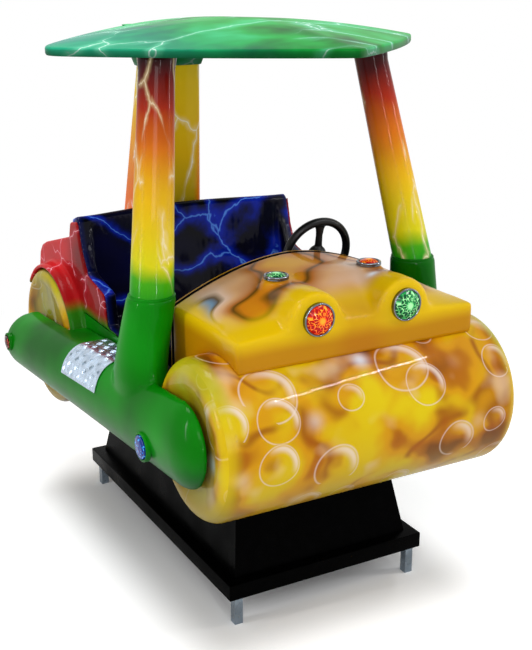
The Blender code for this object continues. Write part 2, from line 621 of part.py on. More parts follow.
def sub_frame(ride):
    """Welded square-tube frame with two lugs that hang on the pivot axle."""
    top = RAIL_BOTTOM + RAIL_SIZE
    half = RAIL_SIZE / 2
    frame = finish("sub_frame", box((-RAIL_X - half, RAIL_FRONT_Y, RAIL_BOTTOM),
                                    (-RAIL_X + half, RAIL_REAR_Y, top)), STEEL, ride)
    weld(frame, box((RAIL_X - half, RAIL_FRONT_Y, RAIL_BOTTOM), (RAIL_X + half, RAIL_REAR_Y, top)))
    for y in (RAIL_FRONT_Y + 0.020, CRANK_Y, BASE_Y, RAIL_REAR_Y - 0.020):
        weld(frame, box((-RAIL_X, y - half, RAIL_BOTTOM), (RAIL_X, y + half, top)))
    for side in (-1, 1):
        x = side * LUG_X
        outline = [(BASE_Y + LUG_HALF_Y, RAIL_BOTTOM + half), (BASE_Y - LUG_HALF_Y, RAIL_BOTTOM + half)]
        for step in range(9):
            turn = math.pi + math.pi * step / 8
            outline.append((BASE_Y + 0.024 * math.cos(turn), PIVOT_Z + 0.024 * math.sin(turn)))
        weld(frame, prism(outline, 'X', x - LUG_THICK / 2, x + LUG_THICK / 2))
        cut(frame, turned((x - 0.02, BASE_Y, PIVOT_Z), (1, 0, 0),
                          [(0.0, AXLE_RADIUS + RUN), (0.04, AXLE_RADIUS + RUN)]))


def crank_channel(ride):
    """Channel under the frame, open towards the crank, in which the roller runs."""
    inner = ROLLER_RADIUS + CHANNEL_SLACK
    outer = inner + CHANNEL_WALL
    web = CHANNEL_X[1] - CHANNEL_WALL
    outline = [(CHANNEL_X[0], PIVOT_Z + inner), (web, PIVOT_Z + inner), (web, PIVOT_Z - inner),
               (CHANNEL_X[0], PIVOT_Z - inner), (CHANNEL_X[0], PIVOT_Z - outer),
               (CHANNEL_X[1], PIVOT_Z - outer), (CHANNEL_X[1], PIVOT_Z + outer),
               (CHANNEL_X[0], PIVOT_Z + outer)]
    channel = finish("crank_channel", prism(outline, 'Y', CRANK_Y - CHANNEL_HALF_Y,
                                            CRANK_Y + CHANNEL_HALF_Y), STEEL, ride)
    weld(channel, box((web - 0.008, CRANK_Y - 0.030, PIVOT_Z + outer - 0.002),
                      (CHANNEL_X[1] - 0.001, CRANK_Y + 0.030, RAIL_BOTTOM - GAP)))
    weld(channel, box((-0.012, CRANK_Y - 0.014, RAIL_BOTTOM - 0.005 - GAP),
                      (0.030, CRANK_Y + 0.014, RAIL_BOTTOM - GAP)))


# ---------------------------------------------------------------- drums and tub
def drum_profile(radius, half, fillet, steps=4):
    """Drum outline from one end's middle, over the rounded rims, to the other's."""
    profile = [(-half, 0.0)]
    for step in range(steps + 1):
        turn = math.pi / 2 * step / steps
        profile.append((-half + fillet * (1 - math.sin(turn)),
                        radius - fillet * (1 - math.cos(turn))))
    profile[1:] = sorted(profile[1:], key=lambda p: p[0])
    return profile + [(-x, r) for x, r in reversed(profile)]


def drum(name, y, z, radius, half, fillet, window, material, ride):
    """Hollow moulded drum; the window through its wall faces the tub."""
    item = finish(name, turned((0, y, z), (1, 0, 0), drum_profile(radius, half, fillet), 44),
                  material, ride)
    cut(item, turned((0, y, z), (1, 0, 0),
                     drum_profile(radius - SKIN, half - SKIN, fillet, 1), 22))
    cut(item, box(*window))


def drums(ride):
    drum("front_drum", FRONT_DRUM_Y, FRONT_DRUM_Z, FRONT_DRUM_RADIUS, FRONT_DRUM_HALF,
         FRONT_DRUM_FILLET, ((-0.25, FRONT_DRUM_Y + 0.15, FRONT_DRUM_Z - 0.08),
                             (0.25, FRONT_DRUM_Y + 0.30, FRONT_DRUM_Z + 0.05)), YELLOW, ride)
    drum("rear_drum", REAR_DRUM_Y, REAR_DRUM_Z, REAR_DRUM_RADIUS, REAR_DRUM_HALF,
         REAR_DRUM_FILLET, ((-0.25, REAR_DRUM_Y - 0.30, REAR_DRUM_Z - 0.08),
                            (0.25, REAR_DRUM_Y - 0.15, REAR_DRUM_Z + 0.05)), YELLOW, ride)


def floor_tub(ride):
    """Footwell pan with upright sides and an inward rim flange."""
    tub = finish("floor_tub", box((-BODY_HALF, TUB_FRONT_Y, FLOOR_Z),
                                  (BODY_HALF, TUB_REAR_Y, TUB_RIM_Z)), BLACK, ride)
    cut(tub, box((SKIN - BODY_HALF, TUB_FRONT_Y + SKIN, FLOOR_TOP),
                 (BODY_HALF - SKIN, TUB_REAR_Y - SKIN, TUB_RIM_Z - SKIN)))
    cut(tub, box((TUB_FLANGE - BODY_HALF, TUB_FRONT_Y + 2 * SKIN, TUB_RIM_Z - 2 * SKIN),
                 (BODY_HALF - TUB_FLANGE, TUB_REAR_Y - 2 * SKIN, TUB_RIM_Z + SKIN)))
    cut(tub, box((TUB_FLANGE - BODY_HALF, TUB_REAR_Y - 3 * SKIN, TUB_BACK_Z),
                 (BODY_HALF - TUB_FLANGE, TUB_REAR_Y + SKIN, TUB_RIM_Z + 2 * SKIN)))


# ---------------------------------------------------------------- side members
def member_section(y, scale=1.0):
    """Middle x, middle z, bulge and half height of the side member at a y."""
    t = (min(max(y, FRONT_DRUM_Y), MEMBER_OVERLAP_Y) - FRONT_DRUM_Y) / (MEMBER_OVERLAP_Y - FRONT_DRUM_Y)
    return (mix(FRONT_DRUM_HALF + 0.0013, REAR_DRUM_HALF + 0.030, t), mix(FRONT_DRUM_Z - 0.002, 0.526, t),
            mix(0.062, 0.095, t) * scale, mix(0.118, 0.095, t) * scale)


def member_paths(y, side, inner_x, scale, wall):
    """Outer and inner paths of the D section, from its top inner edge to its bottom one."""
    middle, z, bulge, half = member_section(y, scale)
    paths = []
    for inset in (0.0, wall):
        points = [(side * inner_x, y, z + half - inset)]
        for i in range(MEMBER_FACETS + 1):
            turn = math.pi / 2 - math.pi * i / MEMBER_FACETS
            points.append((side * (middle + (bulge - inset) * math.cos(turn)), y,
                           z + (half - inset) * math.sin(turn)))
        points.append((side * inner_x, y, z - half + inset))
        paths.append(points)
    return paths


def filled(station, side, inner_x):
    """The same station with its hollow closed: the inner path lies on the inner edge."""
    outer, inner = station
    top, bottom, count = inner[0][2], inner[-1][2], len(inner)
    flat = [(side * inner_x, outer[0][1], mix(top, bottom, i / (count - 1))) for i in range(count)]
    return outer, flat


def side_member(name, side, ride):
    """Long rounded fairing from the front drum's hub to the rear drum, open inside."""
    wall = 0.005
    nose = 0.118
    tail = 0.060
    at_drum, at_body, at_rear = FRONT_DRUM_HALF + GAP, BODY_HALF + GAP, REAR_DRUM_HALF + GAP
    step_front, step_rear, step = TUB_FRONT_Y + 0.001, REAR_DRUM_Y - 0.2445, 0.001
    stations = []

    def add(y, inner_x, scale=1.0, solid=False):
        paths = member_paths(y, side, inner_x, scale, wall)
        stations.append(filled(paths, side, inner_x) if solid else paths)

    for degrees in (86, 76, 64):
        turn = math.radians(degrees)
        add(FRONT_DRUM_Y - nose * math.sin(turn), at_drum, math.cos(turn), True)
    for degrees in (50,):
        turn = math.radians(degrees)
        add(FRONT_DRUM_Y - nose * math.sin(turn), at_drum, math.cos(turn), True)
    for degrees in (50, 34, 17, 0):
        turn = math.radians(degrees)
        add(FRONT_DRUM_Y - nose * math.sin(turn), at_drum, math.cos(turn))
    add(step_front, at_drum)
    add(step_front + step, at_body)
    for y in TREAD_Y:
        add(y, at_body)
    add(step_rear - step, at_body)
    add(step_rear, at_rear)
    add(MEMBER_OVERLAP_Y, at_rear)
    for degrees in (25, 50):
        turn = math.radians(degrees)
        add(MEMBER_OVERLAP_Y + tail * math.sin(turn), at_rear, 1 - 0.35 * (1 - math.cos(turn)))
    add(MEMBER_OVERLAP_Y + tail * math.sin(math.radians(50)), at_rear,
        1 - 0.35 * (1 - math.cos(math.radians(50))), True)
    add(MEMBER_OVERLAP_Y + tail, at_rear, 0.62, True)
    member = finish(name, sheet(stations), GREEN, ride)
    reflector_bosses(member, side)


TREAD_Y = (POST_BASE_TOP[1] + 0.1735, SEAT_Y + 0.120)
TREAD_THICK = 0.002
TREAD_LIFT = 0.0007


def tread_plate(name, side, ride):
    """Chequer plate bent over the side member where a child steps in."""
    stations = []
    for y in TREAD_Y:
        middle, z, bulge, half = member_section(y)
        paths = []
        for lift in (TREAD_LIFT + TREAD_THICK, TREAD_LIFT):
            points = [(side * (BODY_HALF + 0.006), y, z + half + lift)]
            for i in range(MEMBER_FACETS // 2):
                turn = math.pi / 2 - math.pi * i / MEMBER_FACETS
                points.append((side * (middle + (bulge + lift) * math.cos(turn)), y,
                               z + (half + lift) * math.sin(turn)))
            paths.append(points)
        stations.append(paths)
    finish(name, sheet(stations), TREAD, ride)


def member_top(x, y):
    """Height of the side member's upper surface at a distance x from the middle."""
    middle, z, bulge, half = member_section(y)
    reach = min(max((abs(x) - middle) / bulge, 0.0), 0.999)
    return z + half * math.sqrt(1 - reach * reach)


REFLECTORS = (("front", FRONT_DRUM_Y + 0.134, 0.552, 0.032), ("rear", REAR_DRUM_Y + 0.0315, 0.540, 0.022))
REFLECTOR_BOSS = 0.009         # radius of the boss beyond its reflector


def reflector_plane(y, z, reach):
    """Distance from the middle of a flat that clears the side member all round a boss."""
    widest = 0.0
    for dy in (-reach, 0.0, reach):
        middle, centre_z, bulge, half = member_section(y + dy)
        low = min(max(centre_z, z - reach), z + reach) - centre_z
        widest = max(widest, middle + bulge * math.cos(math.asin(low / half)))
    return widest + 0.001


def reflector_bosses(member, side):
    """Flat round bosses on the side member's outside that the reflectors stand on."""
    for _, y, z, radius in REFLECTORS:
        reach = radius + REFLECTOR_BOSS
        outside = reflector_plane(y, z, reach)
        weld(member, turned((side * (outside - 0.018), y, z), (side, 0, 0), [(0.0, reach), (0.018, reach)], 20))


def reflectors(ride):
    """Round side reflectors, two on each side."""
    for end, y, z, radius in REFLECTORS:
        lens = BLUE_LENS if end == "front" else BROWN_LENS
        for name, side in (("right", -1), ("left", 1)):
            outside = reflector_plane(y, z, radius + REFLECTOR_BOSS) + GAP
            finish(f"{end}_reflector_{name}",
                   turned((side * outside, y, z), (side, 0, 0),
                          [(0.0, radius), (0.006, radius), (0.006, radius - 0.004),
                           (0.009, radius - 0.010), (0.0105, 0.0)], 18), lens, ride)


# ---------------------------------------------------------------- posts and roof
def tapered_tube(rings_outer, rings_inner):
    return lofted([rings_outer[0], rings_outer[1], rings_inner[1], rings_inner[0]], closed=True)


def post_base(name, side, ride):
    """Green socket that rises from the side member to the post's foot."""
    count = 26
    top_x, top_y, top_z = POST_BASE_TOP
    foot_y = POST_BASE_TOP[1] + 0.0195
    foot_x = member_section(foot_y - 0.006)[0] - 0.006
    foot_half = (0.066, 0.095)
    outer, inner = [], []
    for wall, rings in ((0.0, outer), (POST_WALL, inner)):
        foot, head = [], []
        for i in range(count):
            turn = 2 * math.pi * i / count
            x = foot_x + (foot_half[0] - wall) * math.cos(turn)
            y = foot_y + (foot_half[1] - wall) * math.sin(turn)
            foot.append((side * x, y, member_top(x, y) + 0.0012))
            head.append((side * (top_x + (POST_BASE_RADIUS - wall) * math.cos(turn)),
                         top_y + (POST_BASE_RADIUS - wall) * math.sin(turn), top_z))
        rings += [foot, head]
    finish(name, tapered_tube(outer, inner), GREEN, ride)


def front_post(name, side, ride):
    """Tapered hollow post leaning inward and back from its base to the roof."""
    base_x, base_y, base_z = POST_BASE_TOP
    foot_z, head_z = base_z + GAP, ROOF_PAD_Z - GAP
    outer, inner = [], []
    for wall, rings in ((0.0, outer), (POST_WALL, inner)):
        rings.append([(side * base_x + p.x, base_y + p.y, foot_z)
                      for p in circle((0, 0, 0), POST_RADII[0] - wall, (0, 0, 1), 26)])
        rings.append([(side * POST_TOP[0] + p.x, POST_TOP[1] + p.y, head_z)
                      for p in circle((0, 0, 0), POST_RADII[1] - wall, (0, 0, 1), 26)])
    finish(name, tapered_tube(outer, inner), ORANGE, ride)


DECK_LINE = ((0.4515, 0.909), (0.6915, 0.841))    # measured from the seat's own origin
SEAT_BOW = 0.055


def bow(x):
    """How far the seat back is bowed rearward at a distance x from the middle."""
    reach = min(abs(x) / (BODY_HALF - 0.040), 1.0)
    return SEAT_BOW * (1 - reach * reach) ** 1.5


def deck_height(y):
    """Height of the rear deck along its middle line, where it is highest."""
    (y0, z0), (y1, z1) = DECK_LINE
    return z0 + (z1 - z0) * (y - SEAT_Y - y0 - SEAT_BOW) / (y1 - y0 - SEAT_BOW)


def rear_support(ride):
    """Wide hollow pylon from the rear deck to the socket under the roof."""
    foot = (0.120, SEAT_Y + 0.508, SEAT_Y + 0.665)
    head = (0.103, SEAT_Y + 0.455, SEAT_Y + 0.530)
    outer, inner = [], []
    for wall, rings in ((0.0, outer), (SKIN, inner)):
        for half_x, front, back, is_foot in ((*foot, True), (*head, False)):
            middle, half_y = (front + back) / 2, (back - front) / 2
            ring = []
            for a, b in rounded_rectangle(half_x - wall, half_y - wall, 0.022 - wall / 2):
                y = middle + b
                ring.append((a, y, deck_height(y) + 0.0006 if is_foot else SOCKET_Z - GAP))
            rings.append(ring)
    finish("rear_support", tapered_tube(outer, inner), YELLOW, ride)


def roof_plan(s, t, shrink=1.0):
    """Map a square grid to the kite-shaped plan with slightly bowed edges."""
    x, along = ROOF_HALF_X * (s - t) / 2, (s + t) / 2
    big = max(abs(s), abs(t), 1e-6)
    swell = 1 + 0.035 * (1 - (min(abs(s), abs(t)) / big) ** 2)
    reach = (ROOF_REAR_Y - ROOF_WIDEST_Y) if along > 0 else (ROOF_WIDEST_Y - ROOF_FRONT_Y)
    return x * swell * shrink, ROOF_WIDEST_Y + along * reach * swell * shrink


def roof_top(s, t):
    """Height of the domed top over the square grid."""
    reach = max(abs(s), abs(t))
    rim = ROOF_RIM_Z - ROOF_DROOP * min(1.0, abs(s - t) / 2)
    return rim + (ROOF_APEX_Z - rim) * (1 - reach ** 1.8)


def roof_height(x, y):
    """Approximate height of the top over a place in plan."""
    reach = (ROOF_REAR_Y - ROOF_WIDEST_Y) if y > ROOF_WIDEST_Y else (ROOF_WIDEST_Y - ROOF_FRONT_Y)
    across, along = x / ROOF_HALF_X, (y - ROOF_WIDEST_Y) / reach
    return roof_top(along + across, along - across)


def roof(ride):
    """Kite-shaped domed canopy with a turned-down lip, post pads and a rear socket."""
    cells = 8
    shrink = 1 - 0.012 / ROOF_HALF_X
    steps = [-1.0] + [-1 + 2 * i / cells for i in range(cells + 1)] + [1.0]
    stations = []
    for i, s in enumerate(steps):
        outer, inner = [], []
        for j, t in enumerate(steps):
            border = i in (0, len(steps) - 1) or j in (0, len(steps) - 1)
            top = roof_top(s, t)
            outer.append((*roof_plan(s, t), top - ROOF_LIP if border else top))
            inner.append((*roof_plan(s, t, shrink), top - (ROOF_LIP if border else ROOF_SKIN)))
        stations.append((outer, inner))
    item = finish("roof", sheet(stations), GREEN, ride)
    pad_height = roof_height(*POST_TOP) - 0.8 * ROOF_SKIN - ROOF_PAD_Z
    for side in (-1, 1):
        weld(item, turned((side * POST_TOP[0], POST_TOP[1], ROOF_PAD_Z), (0, 0, 1),
                          [(0.0, POST_RADII[1] + 0.004), (pad_height, POST_RADII[1] + 0.010)]))
    socket = []
    front, back = SEAT_Y + 0.430, SEAT_Y + 0.550
    for half_x, inset_front, inset_back, z, corner in ((0.108, 0.018, 0.012, SOCKET_Z, 0.024),
                                                       (0.128, 0.0, 0.0, SOCKET_Z + 0.030, 0.030),
                                                       (0.128, 0.0, 0.0, 1.552, 0.030)):
        middle = (front + inset_front + back - inset_back) / 2
        half_y = (back - inset_back - front - inset_front) / 2
        socket.append([(a, middle + b, z) for a, b in rounded_rectangle(half_x, half_y, corner)])
    weld(item, lofted(socket))


# ---------------------------------------------------------------- hood, dash and controls
def front_drum_top(y):
    reach = min(abs(y - FRONT_DRUM_Y), FRONT_DRUM_RADIUS)
    return FRONT_DRUM_Z + math.sqrt(FRONT_DRUM_RADIUS ** 2 - reach ** 2)


def hood_top(x, y):
    """Crowned top with two rounded lamp nacelles at the front."""
    reach = min(abs(x) / (HOOD_HALF - 0.010), 1.0)
    rise = min(max((y - HOOD_FRONT_Y) / 0.220, 0.0), 1.0)
    crown = HOOD_NOSE_Z + (HOOD_CROWN_Z - HOOD_NOSE_Z) * math.sin(rise * math.pi / 2)
    base = HOOD_SHOULDER_Z + (crown - HOOD_SHOULDER_Z) * (1 - reach ** 1.8)
    across = min(abs(abs(x) - HEADLAMP[0]) / 0.088, 1.0)
    fade = min(max((y - HOOD_FRONT_Y - 0.0725) / 0.180, 0.0), 1.0)
    pod = HOOD_NOSE_Z - 0.012 - 0.024 * fade + 0.100 * math.sqrt(1 - across * across)
    return max(base, pod) if across < 1.0 else base


def hood(ride):
    """Bonnet over the front drum: open underneath and behind, closed in front."""
    xs = [(HOOD_HALF - 0.010) * (2 * i / HOOD_COLUMNS - 1) for i in range(HOOD_COLUMNS + 1)]
    clearance = 0.0022

    wall_y = HOOD_FRONT_Y + SKIN

    def paths(y, solid=False):
        bottom = max(front_drum_top(max(y, wall_y)) + clearance, TUB_RIM_Z + GAP)
        side_z = HOOD_SHOULDER_Z - 0.016
        outer = [(-HOOD_HALF, y, bottom), (-HOOD_HALF, y, side_z)]
        outer += [(x, y, hood_top(x, y)) for x in xs]
        outer += [(HOOD_HALF, y, side_z), (HOOD_HALF, y, bottom)]
        inner = []
        for i, (x, _, z) in enumerate(outer):
            lower = z if i in (0, len(outer) - 1) else z - SKIN
            inner.append((x * (HOOD_HALF - SKIN) / HOOD_HALF, y, lower))
        if solid:
            inner = [(x, y, bottom) for x, _, _ in inner]
        return outer, inner

    stations = [paths(HOOD_FRONT_Y, True), paths(wall_y, True), paths(wall_y)]
    first = math.asin((wall_y - FRONT_DRUM_Y) / FRONT_DRUM_RADIUS)
    last = math.acos((TUB_RIM_Z - FRONT_DRUM_Z) / FRONT_DRUM_RADIUS)
    bays = math.ceil((last - first) / HOOD_BAY)
    for i in range(bays):
        turn = mix(first, last, (i + 1) / bays)
        stations.append(paths(FRONT_DRUM_Y + FRONT_DRUM_RADIUS * math.sin(turn)))
    stations.append(paths(HOOD_REAR_Y))
    item = finish("hood", sheet(stations), YELLOW, ride)
    for side in (-1, 1):
        x, y, z = TOP_LAMP
        weld(item, turned((side * x, y, z - 0.016), (0, 0, 1), [(0.0, 0.036), (0.016, 0.036)], 20))


def lamps(ride):
    """Chrome bezels and domed lenses: two in the hood's face, two on top of it."""
    for name, side, head_lens, top_lens in (("right", -1, RED_LENS, GREEN_LENS),
                                            ("left", 1, GREEN_LENS, RED_LENS)):
        place = (side * HEADLAMP[0], HOOD_FRONT_Y - GAP, HEADLAMP[1])
        finish(f"headlamp_bezel_{name}",
               ring_turned(place, (0, -1, 0), [(0.0, BEZEL_RADIUS), (0.010, BEZEL_RADIUS - 0.001),
                                               (0.017, BEZEL_RADIUS - 0.004), (0.017, LENS_RADIUS + 0.001),
                                               (0.0, LENS_RADIUS + RUN)], 20), CHROME, ride)
        finish(f"headlamp_lens_{name}",
               turned(place, (0, -1, 0), [(0.0, LENS_RADIUS), (0.014, LENS_RADIUS), (0.021, 0.031),
                                          (0.026, 0.020), (0.028, 0.0)], 20), head_lens, ride)
        place = (side * TOP_LAMP[0], TOP_LAMP[1], TOP_LAMP[2] + GAP)
        finish(f"top_lamp_bezel_{name}",
               ring_turned(place, (0, 0, 1), [(0.0, 0.034), (0.007, 0.033), (0.010, 0.030),
                                              (0.010, 0.0265), (0.0, 0.0255 + RUN)], 20), CHROME, ride)
        finish(f"top_lamp_lens_{name}",
               turned(place, (0, 0, 1), [(0.0, 0.0255), (0.008, 0.0255), (0.014, 0.021),
                                         (0.018, 0.012), (0.0195, 0.0)], 20), top_lens, ride)


def dashboard(ride):
    """Panel behind the hood with holes for the column, start button and loudspeaker."""
    half = HOOD_HALF - 0.010
    outline = [(-HOOD_HALF, 0.700), (HOOD_HALF, 0.700), (HOOD_HALF, HOOD_SHOULDER_Z - 0.016)]
    outline += [(x, hood_top(x, HOOD_REAR_Y)) for x in
                [half * (1 - 2 * i / HOOD_COLUMNS) for i in range(HOOD_COLUMNS + 1)]]
    outline.append((-HOOD_HALF, HOOD_SHOULDER_Z - 0.016))
    dash = finish("dashboard", prism(outline, 'Y', DASH_Y, DASH_BACK_Y), BLACK, ride)
    cut(dash, turned((START_BUTTON[0], DASH_Y - 0.02, START_BUTTON[1]), (0, 1, 0),
                     [(0.0, START_RADIUS + RUN), (0.05, START_RADIUS + RUN)]))
    cut(dash, turned((SPEAKER[0], DASH_Y - 0.02, SPEAKER[1]), (0, 1, 0),
                     [(0.0, SPEAKER_RADIUS - 0.008), (0.05, SPEAKER_RADIUS - 0.008)]))
    cut(dash, turned(WHEEL_CENTRE - WHEEL_AXIS * 0.12, WHEEL_AXIS, [(0.0, 0.0125), (0.09, 0.0125)], 20))
    speaker = finish("loudspeaker",
                     ring_turned((SPEAKER[0], DASH_Y - GAP, SPEAKER[1]), (0, -1, 0),
                                 [(0.0, SPEAKER_RADIUS - 0.006), (0.0, SPEAKER_RADIUS),
                                  (0.004, SPEAKER_RADIUS), (0.022, 0.026), (0.024, 0.0235),
                                  (0.0205, 0.0235)], 20), PLASTIC_BLACK, ride)
    weld(speaker, turned((SPEAKER[0], DASH_Y - GAP - 0.019, SPEAKER[1]), (0, -1, 0),
                         [(0.0, 0.0245), (0.022, 0.0245)], 20))


def steering(ride, wheel, horn):
    """Column tube on the dash, the wheel with its shaft, and the horn button in its hub."""
    to_dash = (WHEEL_CENTRE.y - DASH_BACK_Y) / WHEEL_AXIS.y
    collar_end = -0.022
    column = finish("steering_column",
                    ring_turned(WHEEL_CENTRE, WHEEL_AXIS,
                                [(-to_dash - 0.010, 0.0098), (-to_dash - 0.010, 0.030),
                                 (-to_dash + 0.014, 0.026), (-to_dash + 0.020, 0.019),
                                 (collar_end, 0.017), (collar_end, 0.0098)]), PLASTIC_BLACK, ride)
    cut(column, box((0.0, DASH_BACK_Y - 0.10, 0.80), (0.30, DASH_BACK_Y + GAP, 1.10)))

    side = Vector((1.0, 0.0, 0.0))
    up = side.cross(WHEEL_AXIS)
    rings = []
    for i in range(30):
        turn = 2 * math.pi * i / 30
        out = math.cos(turn) * side + math.sin(turn) * up
        ring = []
        for j in range(8):
            roll = 2 * math.pi * j / 8
            ring.append(WHEEL_CENTRE + out * (WHEEL_RIM_RADIUS + WHEEL_GRIP_RADIUS * math.cos(roll))
                        + WHEEL_AXIS * WHEEL_GRIP_RADIUS * math.sin(roll))
        rings.append(ring)
    rim = finish("steering_wheel", lofted(rings, closed=True), PLASTIC_BLACK, wheel)
    weld(rim, turned(WHEEL_CENTRE, WHEEL_AXIS,
                     [(-0.100, 0.0094), (-0.0215, 0.0094), (-0.0215, HUB_RADIUS - 0.006),
                      (-0.012, HUB_RADIUS), (0.006, HUB_RADIUS), (0.010, HUB_RADIUS - 0.003)]))
    for spoke in range(3):
        turn = math.radians(90 + 120 * spoke)
        out = math.cos(turn) * side + math.sin(turn) * up
        across = WHEEL_AXIS.cross(out)
        sections = []
        for reach, half_width, half_depth, drop in ((0.018, 0.014, 0.006, -0.004),
                                                    (0.055, 0.011, 0.005, -0.002),
                                                    (WHEEL_RIM_RADIUS - 0.002, 0.015, 0.006, 0.0)):
            centre = WHEEL_CENTRE + out * reach + WHEEL_AXIS * drop
            sections.append([centre + across * (a * half_width) + WHEEL_AXIS * (b * half_depth)
                             for a, b in ((-1, -0.5), (-0.7, -1), (0.7, -1), (1, -0.5),
                                          (1, 0.5), (0.7, 1), (-0.7, 1), (-1, 0.5))])
        weld(rim, lofted(sections))
    cut(rim, turned(WHEEL_CENTRE - WHEEL_AXIS * 0.006, WHEEL_AXIS,
                    [(0.0, HORN_RADIUS + RUN), (0.03, HORN_RADIUS + RUN)]))
    finish("horn_button", turned(WHEEL_CENTRE - WHEEL_AXIS * (0.006 - BUTTON_TRAVEL - 0.0005), WHEEL_AXIS,
                                 [(0.0, HORN_RADIUS), (0.011, HORN_RADIUS), (0.0135, HORN_RADIUS - 0.003),
                                  (0.0145, 0.0)]), YELLOW, horn)


def start_button(press):
    """Push button in the dashboard, kept from falling out by a flange behind it."""
    x, z = START_BUTTON
    flange = 0.0035
    start = DASH_Y - GAP - flange
    tip = DASH_BACK_Y + 0.010 - start
    button = turned((x, start, z), (0, 1, 0), [(0.0, START_RADIUS + 0.004), (flange, START_RADIUS + 0.004),
                                               (flange, START_RADIUS), (tip - 0.003, START_RADIUS),
                                               (tip, START_RADIUS - 0.003)])
    finish("start_button", button, RED_LENS, press)


# ---------------------------------------------------------------- seat and rear shell
WING_LOW = TUB_RIM_Z + GAP


def from_seat(points):
    """Outline points measured from the seat's own origin, moved to where the seat is."""
    return [(SEAT_Y + y, z) for y, z in points]


WING_TOP = from_seat([(0.3695, 0.975), (0.385, 0.987), (0.4272, 0.971), (0.4272, 0.950)])
WING_PATH = from_seat([(0.0500, WING_LOW), (0.0580, WING_LOW + 0.001), (0.1405, 0.689), (0.1615, 0.789),
                       (0.2445, 0.806), (0.3125, 0.822), (0.3475, 0.888)]) + WING_TOP
SEAT_PATH = from_seat([(0.055, 0.610), (0.055, 0.632), (0.1405, 0.6405), (0.165, 0.639), (0.300, 0.628),
                       (0.332, 0.655), (0.350, 0.790)]) + WING_TOP
SEAT_HALF = BODY_HALF - TUB_FLANGE - GAP - SKIN
SKIN_PATH = from_seat([(0.4350, 0.960), DECK_LINE[0], DECK_LINE[1], (0.7350, 0.822), (0.7600, 0.795),
                       (0.7775, 0.731), (0.7775, 0.665)])


def seat_point(x, y, z, bowed):
    """A point of the seat back, bowed rearward towards its top middle."""
    share = min(max((z - 0.66) / 0.24, 0.0), 1.0)
    return x, y + bow(bowed) * share, z


def seat_shell(ride):
    """Bench liner: pan, bowed back and a raised wing at each side, in one thick sheet."""
    wing_out = BODY_HALF - SKIN - GAP
    columns = 12
    spans = [(-wing_out, -wing_out, WING_PATH), (-SEAT_HALF, -SEAT_HALF - SKIN, WING_PATH),
             (-SEAT_HALF, -SEAT_HALF - SKIN, SEAT_PATH)]
    for i in range(1, columns):
        x = SEAT_HALF * (2 * i / columns - 1)
        spans.append((x, x, SEAT_PATH))
    spans += [(SEAT_HALF, SEAT_HALF + SKIN, SEAT_PATH), (SEAT_HALF, SEAT_HALF + SKIN, WING_PATH),
              (wing_out, wing_out, WING_PATH)]
    stations = []
    for outer_x, inner_x, path in spans:
        lowest = path[0][1] if path is WING_PATH else SEAT_PATH[0][1]
        inner = [(y, max(z, lowest)) for y, z in offset_path(path, -SKIN)]
        stations.append(([seat_point(outer_x, *p, outer_x) for p in path],
                         [seat_point(inner_x, *p, outer_x) for p in inner]))
    seat = finish("seat_shell", sheet(stations), BLUE, ride)
    weld(seat, box((0.004 - SEAT_HALF, SEAT_PATH[0][0] + 0.001, FLOOR_TOP + GAP),
                   (SEAT_HALF - 0.004, SEAT_PATH[0][0] + SKIN - 0.001, SEAT_PATH[1][1] - 0.008)))


def bowed_ring(x, outline, bow_from, bow_to):
    """An outline in the plane of one x, with some of its points bowed rearward."""
    return [(x, y + (bow(x) if bow_from <= i < bow_to else 0.0), z) for i, (y, z) in enumerate(outline)]


def rear_shell(ride):
    """Red outer body: two side panels, the skin over back and deck, and wheel-arch flares."""
    arch_radius = REAR_DRUM_RADIUS + 0.012
    start = math.radians(28)
    end = math.pi - math.asin((WING_LOW - REAR_DRUM_Z) / arch_radius)
    arch = []
    for i in range(13):
        turn = mix(start, end, i / 12)
        arch.append((REAR_DRUM_Y + arch_radius * math.cos(turn), REAR_DRUM_Z + arch_radius * math.sin(turn)))
    front = [(WING_PATH[0][0] + 0.006, WING_LOW)] + WING_PATH[2:8]
    panel = front + SKIN_PATH + arch
    inner = [tuple(p) for p in offset_path(SKIN_PATH, -SKIN)]
    hollow = [(inner[0][0], 1.20)] + inner + [(inner[-1][0], 0.50), (-0.20, 0.50), (-0.20, 1.20)]

    columns = 12
    across = [2 * i / columns - 1 for i in range(columns + 1)]
    shell = finish("rear_shell", lofted([bowed_ring(t * BODY_HALF, panel, len(front), len(front) + 2)
                                         for t in across]), RED, ride)
    cut(shell, lofted([bowed_ring(t * (BODY_HALF - SKIN), hollow, 0, 3) for t in across]))
    for side in (-1, 1):
        flare = []
        for i in range(17):
            turn = math.radians(mix(37, 143, i / 16))
            ring = []
            for reach, x in ((0.0013, BODY_HALF - 0.004), (0.0013, REAR_DRUM_HALF - 0.004),
                             (0.0100, REAR_DRUM_HALF - 0.004), (0.0155, REAR_DRUM_HALF - 0.016),
                             (0.0155, BODY_HALF - 0.004)):
                radius = REAR_DRUM_RADIUS + reach
                ring.append((side * x, REAR_DRUM_Y + radius * math.cos(turn),
                             REAR_DRUM_Z + radius * math.sin(turn)))
            flare.append(ring)
        weld(shell, lofted(flare))


